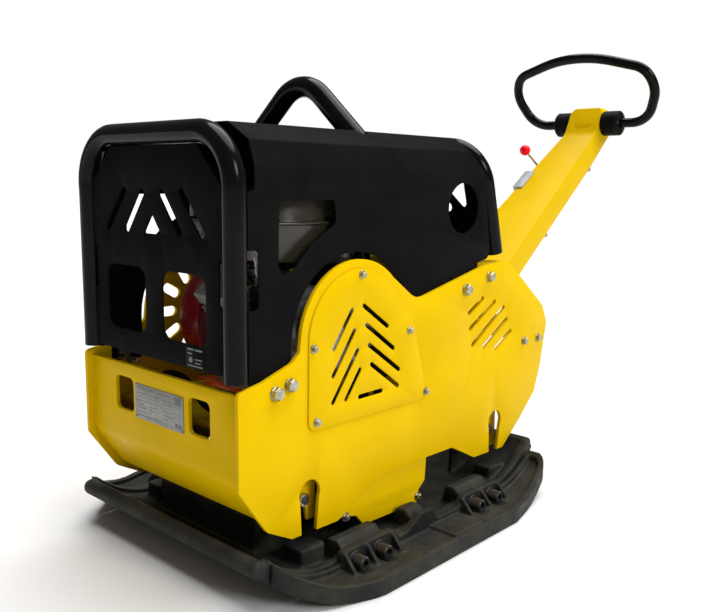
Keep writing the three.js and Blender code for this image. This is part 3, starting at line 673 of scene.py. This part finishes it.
def make_extension(side):
    """A cast plate with a raised rim and a bolted flange, with ribs beside its bolts."""
    inner, outer, flange = 282, 384, 16
    plan = outline([(inner, -416, 3), (298, -412, 20), (348, -345, 90), (outer, -245, 110), (outer, 190, 90),
                    (334, 394, 44), (inner, 394, 8)])
    pocket = outline([(inner + 12, -388), (300, -384, 12), (336, -336, 80), (outer - 15, -240, 100),
                      (outer - 15, 186, 80), (323, 379, 24), (inner + 12, 379, 4)])
    rear = {"start": 240, "radius": 255, "angle": 42}
    floor = common(slab(sledge(22, rear), inner - 2, outer + 2, ALONG), slab(plan, -5, 200, UPWARD))
    rim = common(slab(sledge(32, rear), inner - 2, outer + 2, ALONG),
                 slab(plan, -5, 200, UPWARD, holes=[pocket]))
    side_view = outline([(-262, 12), (250, 12), (244, 56, 8), (112, 56, 8), (96, 36, 10), (22, 36, 6),
                         (8, 62, 6), (-34, 62, 6), (-74, 36, 40), (-100, 36, 10), (-116, 56, 8),
                         (-256, 56, 8)])
    rib = ((inner + 10, 12), (330, 12), (326, 26), (inner + 20, 52), (inner + 10, 52))
    parts = [rim, slab(side_view, inner, inner + flange, ALONG), block(inner + 8, 364, -4, 96, 12, 28, 4, 2)]
    parts += [slab(rib, y - 4, y + 4, ACROSS) for y in (-252, -193, -122, 108, 176.5, 240)]
    tools = [rod(inner - 5, inner + 30, y, BOLT_Z, BOLT_HOLE) for y in BOLT_Y]
    tools += [rod(inner + flange, inner + 54, y, BOLT_Z, 18, 2) for y in BOLT_Y]
    plate = as_cast(cut(union(floor, *parts), *tools), 2.2, 2)
    piece(f"extension_{SIDE_NAME[side]}", for_side(plate, side), CAST,
          nodes=[f"extension_plate_{SIDE_NAME[side]}"], angle=60)


def knurl(t, reach, radius):
    """Grooves round the wall of a screw head, clear of its foot and rim."""
    return 1.0 if reach < 3 or radius < 11 else 1 - 0.035 * (round(t / (2 * math.pi) * KNURLS) % 2)


def make_extension_bolts(side):
    """Socket cap screws with knurled heads, each on a washer."""
    seat, washer, head_radius, parts = 298.3, 2.8, 12.5, []
    for y in BOLT_Y:
        parts.append(turned((seat, y, BOLT_Z), (1, 0, 0), [(0, 17), (2.2, 17), (washer, 16.4)], 36))
        head = turned((seat + washer, y, BOLT_Z), (1, 0, 0), [
            (0, 11.8), *((reach, head_radius) for reach in (0.8, 3.2, 3.4, 22.6, 22.8)), (24.2, 11.4)],
            KNURLS, knurl)
        socket = turned((seat + 16, y, BOLT_Z), (1, 0, 0), [(0, 6.6), (14, 6.6)], 36, hexagon)
        parts.append(cut(head, socket))
        parts.append(rod(256, seat + 1, y, BOLT_Z, 8))
    word = SIDE_NAME[side]
    piece(f"extension_screws_{word}", for_side(merged(*parts), side), OXIDE,
          nodes=[f"extension_bolt_{word}_{i + 1}" for i in range(4)], angle=28)


make_base_plate()
for side in SIDES:
    make_extension(side)
    make_extension_bolts(side)


# ---- exciter, belt drive and rubber mounts

def make_exciter():
    softened("exciter_housing", CAST, edge=3, segments=3)
    (_, reach), (y0, y1), (z0, z1) = span("exciter_cover_left")
    middle = (y0 + y1) / 2
    spots = [(y0 + 10, z0 + 12), (y0 + 10, z1 - 22), (middle, z1 - 8), (middle, z0 + 9),
             (y1 - 10, z0 + 12), (y1 - 10, z1 - 22)]
    for side in SIDES:
        softened(f"exciter_cover_{SIDE_NAME[side]}", CAST, edge=1.5)
        set_of_bolts(f"exciter_bolts_{SIDE_NAME[side]}",
                     [hex_bolt((side * reach, y, z), (side, 0, 0), 13, 7, 9) for y, z in spots])


def make_shock_mounts():
    """Four waisted rubber mounts with a bracket, a spacer ring and a bolt each."""
    tower_face, bracket_face, bolt_face = 150.3, 213.3, 221.5
    for end, y in MOUNT_Y.items():
        for side in SIDES:
            name = f"{end}_{SIDE_NAME[side]}"
            body = for_side(turned((tower_face, y, MOUNT_Z), (1, 0, 0), [
                (0, 31), (0, 34), (3, 34), (3.2, 33), (8, 30.5), (20, 28.5), (34, 28.5), (46, 30.5),
                (51, 33), (51.2, 34), (54.2, 34), (54.4, 31)], 40), side)
            piece(f"rubber_mount_{name}", body, RUBBER, nodes=[f"shock_mount_{name}"])
            softened(f"mount_bracket_{name}", YELLOW, edge=0.8)
            bolt = hex_bolt((bolt_face, y, MOUNT_Z), (1, 0, 0), 14, 3)
            set_of_bolts(f"mount_bolt_{name}", [for_side(bolt, side)], OXIDE)
            washer = turned((bracket_face, y, MOUNT_Z), (1, 0, 0), [(0, 12.5), (7.4, 12.5), (8.6, 11.4)], 36)
            set_of_bolts(f"mount_washer_{name}", [for_side(washer, side)])


def make_belt_drive():
    softened("exciter_pulley", OXIDE, "exciter_front", 0.8)
    softened("clutch", STEEL, "crank", 0.8)
    softened("drive_belt", RUBBER, edge=1.2)


make_exciter()
make_shock_mounts()
make_belt_drive()


# ---- yellow frame

OUTER, SHEET = 241, 8
INNER = OUTER - SHEET
DOME_Y, DOME_Z, DOME_R = -165, 430, 143
EDGE, FACE, BEAM_TOP = -446, -433, 363


def side_blank():
    return outline([(EDGE, 373, 9), (-395, 382, 60), (-329, 404, 14), (-310, 420, 14),
                    *arc(DOME_Y, DOME_Z, DOME_R, 170, 46, 4), (8, 481, 60), (240, 533, 30), (330, 541, 30),
                    (394, 498, 30), (500, 419, 14), (523, 376, 18), (502, 271, 20), (479, 208, 20),
                    (418, 153, 20), (345, 96, 8), (228, 100, 10), (144, 143, 28), (60, 144, 20),
                    (-80, 141, 20), (-146, 128, 40), (-187, 96, 20), (-214, 86, 10), (-328, 88, 10),
                    (-385, 118, 20), (EDGE, 205, 14)])


def keyhole(y, foot0, foot1, z, radius, foot_z):
    """A round window with a slot that runs out of the plate's lower edge."""
    return [*arc(y, z, radius, -25, 205), Vector((foot0, foot_z)), Vector((foot1, foot_z))]


REAR_VENTS = (((246, 464), (187, 431)), ((293, 452), (193, 396)), ((331, 435), (204, 359)),
              ((346, 406), (248, 348)), ((364, 376), (296, 338)))
BELT_OPENING = ((-270, 296, 14), (-270, 440, 60), (-215, 530, 70), (-110, 530, 70), (-18, 420, 60),
                (22, 296, 14))
FAN_SLOTS, FAN_INNER, FAN_OUTER, FAN_WIDTH = 12, 66, 112, 22
KEYHOLES = ((-285, -304, -269, 160, 26, 70), (308, 289, 320, 167, 26, 85))
FRAME_BOLTS = ((-366, 360, 21, 12.5), (-334, 369, 21, 12), (175, 487, 21, 12.5), (263, 508, 19, 11.5),
               (420, 342, 15, 10), (484, 341, 15, 10))


def fan_slots():
    """A ring of cooling slots round the middle of the side plate's dome."""
    hub = Vector((DOME_Y, DOME_Z))
    return [slot(hub + way * FAN_INNER, hub + way * FAN_OUTER, FAN_WIDTH)
            for way in circle(0, 0, 1, 360 / FAN_SLOTS)]


def make_side_plate(side):
    vents = [slot(*ends, 11) for ends in REAR_VENTS]
    vents += [outline(BELT_OPENING)] if side > 0 else fan_slots()
    plate = slab(side_blank(), INNER, OUTER, ALONG, holes=vents)
    plate = cut(plate, *[slab(keyhole(*hole), 200, 260, ALONG) for hole in KEYHOLES])
    piece(f"side_sheet_{SIDE_NAME[side]}", for_side(rounded_over(plate, 0.9), side), YELLOW,
          nodes=[f"side_plate_{SIDE_NAME[side]}"])
    set_of_bolts(f"frame_bolts_{SIDE_NAME[side]}",
                 [for_side(hex_bolt((OUTER, y, z), (1, 0, 0), flats, flats * 0.5, washer), side)
                  for y, z, flats, washer in FRAME_BOLTS])


def make_front_beam():
    """A bent sheet let in between the side plates, with two tie-down windows and a weld at each end."""
    x = INNER - 0.3
    section = outline([(FACE, BEAM_TOP), (FACE, 211, 50), (-374, 126), (-367, 130), (FACE + 8, 213, 42),
                       (FACE + 8, BEAM_TOP)])
    windows = [slab(rounded(side * 118 - 31, side * 118 + 31, 271, 338, 12), FACE - 5, FACE + 15, ACROSS)
               for side in SIDES]
    beam = rounded_over(cut(slab(section, -x, x, ALONG), *windows), 1.3, 3)
    piece("front_sheet", beam, YELLOW, nodes=["front_beam"])
    for side in SIDES:
        seam = bar(smooth_path([(side * (x - 1), FACE + 0.5, z) for z in range(225, 361, 15)]), 2.4, 12)
        piece(f"front_weld_{SIDE_NAME[side]}", seam, YELLOW)


def make_data_plate():
    """A rating plate of brushed foil, with blank ruled fields and no lettering."""
    middle_x, middle_z, face = -3, 299.5, FACE - 1.3

    def on_plate(a, b, h):
        return a + middle_x, h, b + middle_z

    sheet = slab(rounded(-77, 77, -33.5, 33.5, 3), face, FACE - 0.3, on_plate, 0.25)
    piece("rating_plate", sheet, FOIL, nodes=["data_plate"])
    rows = [rounded(x0, x1, z, z + thick, 0.3) for z, thick, fields in (
        (25, 2.4, ((-70, -14), (-4, 34))), (16, 1.3, ((-70, -36), (-30, 2), (14, 38))),
        (9, 1.3, ((-70, -42), (-30, -8), (14, 44))), (2, 1.3, ((-70, -34), (-30, -4), (14, 34))),
        (-5, 1.3, ((-70, -46), (-30, 0), (14, 40))), (-12, 1.3, ((-70, -40), (-30, -12), (14, 46))),
        (-19, 1.3, ((-70, -26), (14, 30))), (-27, 1.8, ((-70, 6),))) for x0, x1 in fields]
    rows += [rounded(52, 70, 15, 30, 1), rounded(52, 60, -27, -19, 0.5), rounded(63, 71, -27, -19, 0.5)]
    print_layer = [slab(row, face - 0.05, face + 0.1, on_plate) for row in rows]
    piece("rating_plate_print", merged(*print_layer), PRINT)
    rivets = [dome_bolt(on_plate(x, z, face), (0, -1, 0), 2.2, 1.2) for x in (-73, 73) for z in (-30, 30)]
    set_of_bolts("rating_plate_rivets", rivets)


for side in SIDES:
    make_side_plate(side)
make_front_beam()
make_data_plate()
softened("engine_deck", YELLOW)
softened("rear_beam", YELLOW)


# ---- belt covers

COVER_SLOTS = (((-180, 485), (-232, 413)), ((-173, 447), (-233, 363)), ((-164, 409), (-233, 314)),
               ((-157, 371), (-199, 314)), ((-154, 489), (-80, 438)), ((-146, 452), (-61, 392)),
               ((-138, 413), (-43, 347)), ((-131, 375), (-46, 315)), ((-164, 315), (-94, 316)))
COVER_SCREWS = ((-158, 545), (-280, 424), (-17, 424), (-272, 290), (40, 289))


def make_belt_covers():
    cover = outline([*arc(DOME_Y, DOME_Z, 126, 174, 48, 4), (-6, 446, 90), (45, 275, 17), (-291, 275, 17)])
    sheet = slab(cover, OUTER + 0.3, OUTER + 3.3, ALONG, 0.8, [slot(*ends, 9) for ends in COVER_SLOTS])
    piece("belt_cover_sheet", sheet, YELLOW, nodes=["belt_cover"])
    screws = [hex_bolt((OUTER + 3.3, y, z), (1, 0, 0), 10, 6.5, 8.2) for y, z in COVER_SCREWS]
    set_of_bolts("belt_cover_screws", screws)
    face = INNER - 0.3
    lower = outline([(-212, 200), (-207, 88, 8), (-152, 75, 6), (-128, 46, 4), (-118, 50, 3), (14, 47, 3),
                     (35, 47, 6), (40, 74, 4), (60, 90, 4), (68, 200)])
    sheet = slab(lower, 226, face, ALONG, 0.8)
    piece("lower_cover_sheet", sheet, YELLOW, nodes=["lower_belt_cover"])
    screws = [hex_bolt((face, y, z), (1, 0, 0), 12, 7, 9.5) for y, z in ((-184, 83), (36, 61))]
    set_of_bolts("lower_cover_screws", screws)


make_belt_covers()


# ---- engine guard

TUBE, TUBE_X, TUBE_Y, TUBE_Z = 20, 220, -433, 791
GUARD_OUTER, RIDGE, ROOF, GUARD_SHEET = 231, 164, 808, 3
HOOP_FOOT, HOOP_TOP = (320, 556), (253, 790)
LIFT_Y, LIFT_R, LIFT_LEG = -78, 21, 166


def bent_bar(corners, radius, to_space, sides=32):
    """A bar along corners in a plane."""
    return bar([to_space(a, b) for a, b in outline(corners, 4)], radius, sides)


def lifting_line():
    """The lifting bar's middle line, from foot to foot over the roof."""
    foot, shoulder, peak = 270.3, 782.6, 926.9
    return both_sides([(LIFT_LEG, foot), (LIFT_LEG, shoulder, 45), (0, peak, 83)])


def to_lifting(x, z):
    return x, LIFT_Y, z


def rear_slope(z):
    """How far back the leaning rear hoop is at a height."""
    (foot_y, foot_z), (top_y, top_z) = HOOP_FOOT, HOOP_TOP
    return foot_y + (z - foot_z) * (top_y - foot_y) / (top_z - foot_z)


def make_hoops():
    front_foot, rear_x, (foot_z, top_z) = 386, 213, (HOOP_FOOT[1], HOOP_TOP[1])
    front = bent_bar(both_sides([(-TUBE_X, front_foot), (-TUBE_X, TUBE_Z, 90)]), TUBE,
                     lambda x, z: (x, TUBE_Y, z))
    piece("front_tube", front, GLOSS_BLACK, nodes=["front_hoop"])
    rear = bent_bar(both_sides([(-rear_x, foot_z), (-rear_x, top_z, 80)]), TUBE,
                    lambda x, z: (x, rear_slope(z), z))
    piece("rear_tube", rear, GLOSS_BLACK, nodes=["rear_hoop"])
    piece("lifting_bar", bent_bar(lifting_line(), LIFT_R, to_lifting, 36), GLOSS_BLACK,
          nodes=["lifting_hoop"])


def make_front_panel():
    """A sheet inside the front hoop, with windows, slots and a sticker without lettering."""
    x, top, front, back = TUBE_X - TUBE - 0.3, TUBE_Z - TUBE - 0.6, -440, -436
    half = [(x, 392, 10), (x, 502), (x - 12, 510, 5), (x - 12, 584, 5), (x, 592), (x, 700), (132, top)]
    shape = outline(both_sides(half))
    holes = [rounded(26, 152, 434, 555, 24), slot((83, 697), (149, 618), 15), slot((26, 694), (85, 618), 15)]
    holes += [flipped(hole) for hole in holes]
    holes.append(outline([(0, 652, 3), (-27, 617, 3), (27, 617, 3)]))
    panel = slab(shape, front, back, ACROSS, 0.8, holes)
    piece("front_panel_sheet", panel, GUARD, nodes=["front_guard_panel"])
    sticker = slab(rounded(95, 145, 393, 430, 2), front - 0.5, front - 0.1, ACROSS, 0.1)
    piece("front_panel_sticker", sticker, DECAL)
    bars = ((99, 117, 425, 428), (121, 141, 425, 428), (99, 112, 418, 420), (120, 140, 409, 411),
            (120, 136, 403, 405), (99, 141, 397, 399))
    marks = [*(rounded(*mark, 0.5) for mark in bars), circle(108, 408, 5)]
    marks = [slab(mark, front - 0.62, front - 0.4, ACROSS) for mark in marks]
    piece("front_panel_sticker_marks", merged(*marks), DECAL_PRINT)


def hood_section(inset):
    """The hood seen from the front: upright sides, a short shoulder and a flat roof."""
    edge, bend = GUARD_OUTER - inset, 9 - inset
    right = [(edge, 300), (edge, 735 - inset * 0.2, bend), (217 - inset * 0.8, 778 - inset * 0.5, bend),
             (RIDGE - inset * 0.2, ROOF - inset, bend)]
    return outline(both_sides(right), 9)


def make_hood():
    """A folded sheet over the engine, cut away round the side plates' domes."""
    side_view = outline([(-322, 342, 8), (-391, 342, 8), (-391, 383, 4), (-414.3, 377, 3), (-414.3, 692, 4),
                         (-399, 698), (-399, ROOF + 1), (223, ROOF + 1), (223, ROOF), (208, 779), (246, 735),
                         (278, 549, 20), (230, 540), (230, 520), (8, 480, 50),
                         *arc(DOME_Y, DOME_Z, DOME_R + 13, 46, 178, 5)])
    reach = GUARD_OUTER + 5

    def through(points):
        return slab(points, -reach, reach, ALONG)

    shell = cut(slab(hood_section(0), -420, 290, ACROSS), slab(hood_section(GUARD_SHEET), -421, 291, ACROSS))
    window = outline([(-349, 681, 6), (-217, 681, 10), (-211, 640, 12), (-271, 606, 20), (-316, 562, 12),
                      (-341, 556, 8), (-350, 574, 8)])
    shell = common(shell, through(side_view))
    notch, round_hole = rounded(-440, -392, 503, 601, 8), circle(173, 659, 53, 5)
    shell = cut(shell, *map(through, (window, notch, round_hole)),
                bent_bar(lifting_line(), LIFT_R + 1.5, to_lifting))
    piece("hood_sheet", rounded_over(shell, 0.7), GUARD, nodes=["hood"], angle=25)


def make_rear_panel():
    """A sheet on the slope of the rear hoop, with two openings at each upper corner."""
    low, high = 562, 768
    side_view = [(rear_slope(z) + shift, z) for z, shift in ((low, -3), (low, 3), (high, 3), (high, -3))]
    half, top = 191.5, high - 0.5
    shape = outline([(-half, low - 1), (half, low - 1), (half, top, 58), (-half, top, 58)], 6)
    holes = [slot((112, 650), (42, 704), 22),
             outline([(108, 697, 4), (143, 659, 4), (150.6, 657), (156.5, 664), (156.5, 735, 6),
                      (146, 735, 6)], 15)]
    holes += [flipped(hole) for hole in holes]
    sheet = common(slab(side_view, -193, 193, ALONG), slab(shape, 200, 400, ACROSS, holes=holes))
    piece("rear_panel_sheet", rounded_over(sheet, 0.9), GUARD, nodes=["rear_guard_panel"])


make_hoops()
make_front_panel()
make_hood()
make_rear_panel()


# ---- engine

def make_engine():
    softened("crankcase", ALLOY, edge=3, segments=3)
    softened("cylinder", ALLOY, edge=0.8)
    softened("blower_housing", RED, edge=2, segments=3)
    softened("muffler", PLASTIC, edge=4, segments=3)
    softened("air_filter", PLASTIC, edge=4, segments=3)
    softened("fuel_tank", TANK, edge=4, segments=3)
    softened("fuel_cap", PLASTIC, "fuel_cap", 1.5)
    softened("battery", PLASTIC, edge=2)
    softened("crankshaft", STEEL, "crank", 0.6)
    for shaft, body in (("front", "exciter_front"), ("rear", "exciter_rear")):
        softened(f"eccentric_shaft_{shaft}", STEEL, body, 0.6)


def make_engine_fittings():
    """What shows through the openings round the engine."""
    hose = ((-140, -366, 274), (-96, -378, 318), (-44, -384, 348), (6, -380, 344), (34, -360, 300),
            (40, -330, 274))
    piece("fuel_hose", bar(smooth_path(hose), 7), RUBBER)
    wires = (((-6, -300, 332), (36, -372, 350), (84, -390, 362), (130, -386, 356), (158, -350, 344),
              (170, -290, 330)),
             ((10, -300, 326), (52, -368, 344), (98, -386, 354), (138, -372, 348), (162, -332, 338),
              (174, -280, 322)))
    piece("wires", merged(*[bar(smooth_path(wire), 3) for wire in wires]), ORANGE)
    brackets = {
        "bay_bracket": ((-229, -164, -386, -364, 349, 353, 4), (-186, -164, -386, -382, 330, 353, 2)),
        "hoop_bracket": ((184, 206, -412, -366, 494, 540, 6), (190, 200, -404, -372, 536, 566, 4))}
    for name, parts in brackets.items():
        piece(name, merged(*[block(*part) for part in parts]), ZINC)
    breather = ((198, -408, 606), (198, -384, 600), (197, -368, 584), (196, -362, 556))
    piece("breather", bar(smooth_path(breather), 5.5), ALLOY)
    set_of_bolts("hood_nuts", [for_side(hex_bolt((227.6, y, z), (-1, 0, 0), 19, 9, 12), side)
                               for side in SIDES for y, z, *_ in FRAME_BOLTS[:2]])


make_engine()
make_engine_fittings()


# ---- drawbar

TILT_Y, TILT_Z = 440, 368
SLOPE, RISE, DEPTH, ROOT_HALF, HEAD_HALF, TAPER_END, ARM_WALL = 0.686, 106, 67, 98, 52, 1085, 6
GRIP_Y, GRIP_Z, GRIP_HEAD = 1155, 896, 49


def upper_z(y):
    return RISE + SLOPE * y


def lower_z(y):
    return upper_z(y) - DEPTH * math.hypot(1, SLOPE)


def half_at(y):
    return ROOT_HALF + (HEAD_HALF - ROOT_HALF) * (y - TILT_Y) / (TAPER_END - TILT_Y)


def arm_hollow():
    """The space inside the arm, open below and short of the pivot and the head."""
    (near_x, near_y), (far_x, far_y) = [
        (half_at(y) - ARM_WALL, y + shift) for y, shift in ((530, ARM_WALL), (1060, -ARM_WALL))]
    plan = ((far_x, far_y), (-far_x, far_y), (-near_x, near_y), (near_x, near_y))
    below, above = -20, upper_z(0) - lower_z(0) - ARM_WALL * 1.2
    side_view = [(y, lower_z(y) + rise)
                 for y, rise in ((400, below), (1200, below), (1200, above), (400, above))]
    return common(slab(plan, 200, 1100, UPWARD), slab(side_view, -120, 120, ALONG))


def make_drawbar():
    """A tapered box arm, with a shallow recess in the face of its rounded head."""
    side_view = outline([*arc(TILT_Y, TILT_Z, 40, 128, 300), (560, lower_z(560)), (1085, lower_z(1085)),
                         *arc(GRIP_Y, GRIP_Z, GRIP_HEAD, -40, 110), (1100, upper_z(1100) + 4, 60),
                         (540, upper_z(540), 30)])
    root = half_at(380)
    plan = outline([(-root, 380), (root, 380), (HEAD_HALF, TAPER_END, 160), (HEAD_HALF, 1250),
                    (-HEAD_HALF, 1250), (-HEAD_HALF, TAPER_END, 160)])
    arm = common(slab(side_view, -120, 120, ALONG), slab(plan, 200, 1100, UPWARD))
    recess = slab(rounded(-29, 29, -22, 21, 12), 0, 40, UPWARD)
    tilted = Matrix.Rotation(math.radians(76), 4, "X")
    recess.data.transform(Matrix.Translation(Vector((0, 1116.5, 902)) * MM) @ tilted)
    top = GRIP_Z + GRIP_HEAD + 0.5
    crown = outline([(-120, 200), (120, 200), (120, 880), (HEAD_HALF, 896), (HEAD_HALF, top, 24),
                     (-HEAD_HALF, top, 24), (-HEAD_HALF, 896), (-120, 880)])
    arm = common(arm, slab(crown, 300, 1300, ACROSS))
    bores = rod(-130, 130, TILT_Y, TILT_Z, 15.5), rod(-60, 60, GRIP_Y, GRIP_Z, 14.5)
    arm = cut(arm, arm_hollow(), *bores, recess)
    piece("drawbar_box", rounded_over(arm, 5, 4, 25), YELLOW, "drawbar", ["drawbar_arm"])
    softened("drawbar_cover", YELLOW, "drawbar", 0.8)
    screws = [hex_bolt((side * (half_at(y) - 7), y, lower_z(y)), (0, SLOPE, -1), 12, 9, 7.5)
              for y in (600, 800, 1072) for side in SIDES]
    set_of_bolts("drawbar_cover_screws", screws, body="drawbar")
    softened("drawbar_pivot", OXIDE, edge=1)
    softened("drawbar_stop", RUBBER, edge=1.5)


def make_handle():
    """A bow that leans forward from its axle, with a bush and three screws on each side."""
    lean = math.radians(30)

    def to_handle(x, reach):
        return x, GRIP_Y - reach * math.sin(lean), GRIP_Z + reach * math.cos(lean)

    half = [(96, 0), (190, 0, 75), (233, 108, 90), (204, 170, 60), (60, 214, 380)]
    loop = bent_bar(both_sides(half), 14, to_handle)
    piece("grip_bow", loop, GLOSS_BLACK, "handle", ["handle_loop"])
    for side in SIDES:
        bush = turned((52.3, GRIP_Y, GRIP_Z), (1, 0, 0), [
            (0, 35.5), (1.5, 37), (34, 37), (34.5, 36.2), (36.5, 36.2), (37, 37), (48, 37),
            (50.7, 34.5)], 56)
        piece(f"grip_bush_{SIDE_NAME[side]}", for_side(bush, side), RUBBER, "handle",
              [f"handle_bush_{SIDE_NAME[side]}"])
        spots = [Vector((0, math.cos(t), math.sin(t))) * 24 for t in map(math.radians, (60, 180, 300))]
        heads = [hex_bolt(Vector((102.9, GRIP_Y, GRIP_Z)) + spot, (1, 0, 0), 8, 5) for spot in spots]
        set_of_bolts(f"grip_bush_bolts_{SIDE_NAME[side]}", [for_side(head, side) for head in heads],
                     OXIDE, "handle")
    softened("handle_axle", STEEL, "handle", 0.8)


def make_throttle():
    """A lever with a ball knob, on the side of its box."""
    softened("control_panel", GREY, "drawbar", 1.5, 3)
    x, y, z = -72, 1000, 752
    lean = math.radians(150.3)
    way = Vector((0, math.cos(lean), math.sin(lean)))
    stick = turned((x, y, z), way, [(0, 3.4), (18, 3.4), (20, 3.1), (104, 3.1)], 20)
    hub = turned((x - 3, y, z), (1, 0, 0), [(0, 9), (1, 10), (5, 10), (6, 9)], 32)
    pin = turned((x - 15, y, z), (1, 0, 0), [(0, 3.4), (0.6, 4), (26, 4)], 20)
    piece("throttle_stick", merged(stick, hub, pin), STEEL, "throttle", ["throttle_lever"])
    reach, radius, rings = 113, 15.5, 24
    ball = [(reach - radius * math.cos(t), max(0.2, radius * math.sin(t)))
            for t in (math.pi * i / rings for i in range(rings + 1))]
    piece("throttle_knob", turned((x, y, z), way, ball, 40), KNOB, "throttle", angle=0)


make_drawbar()
make_handle()
make_throttle()
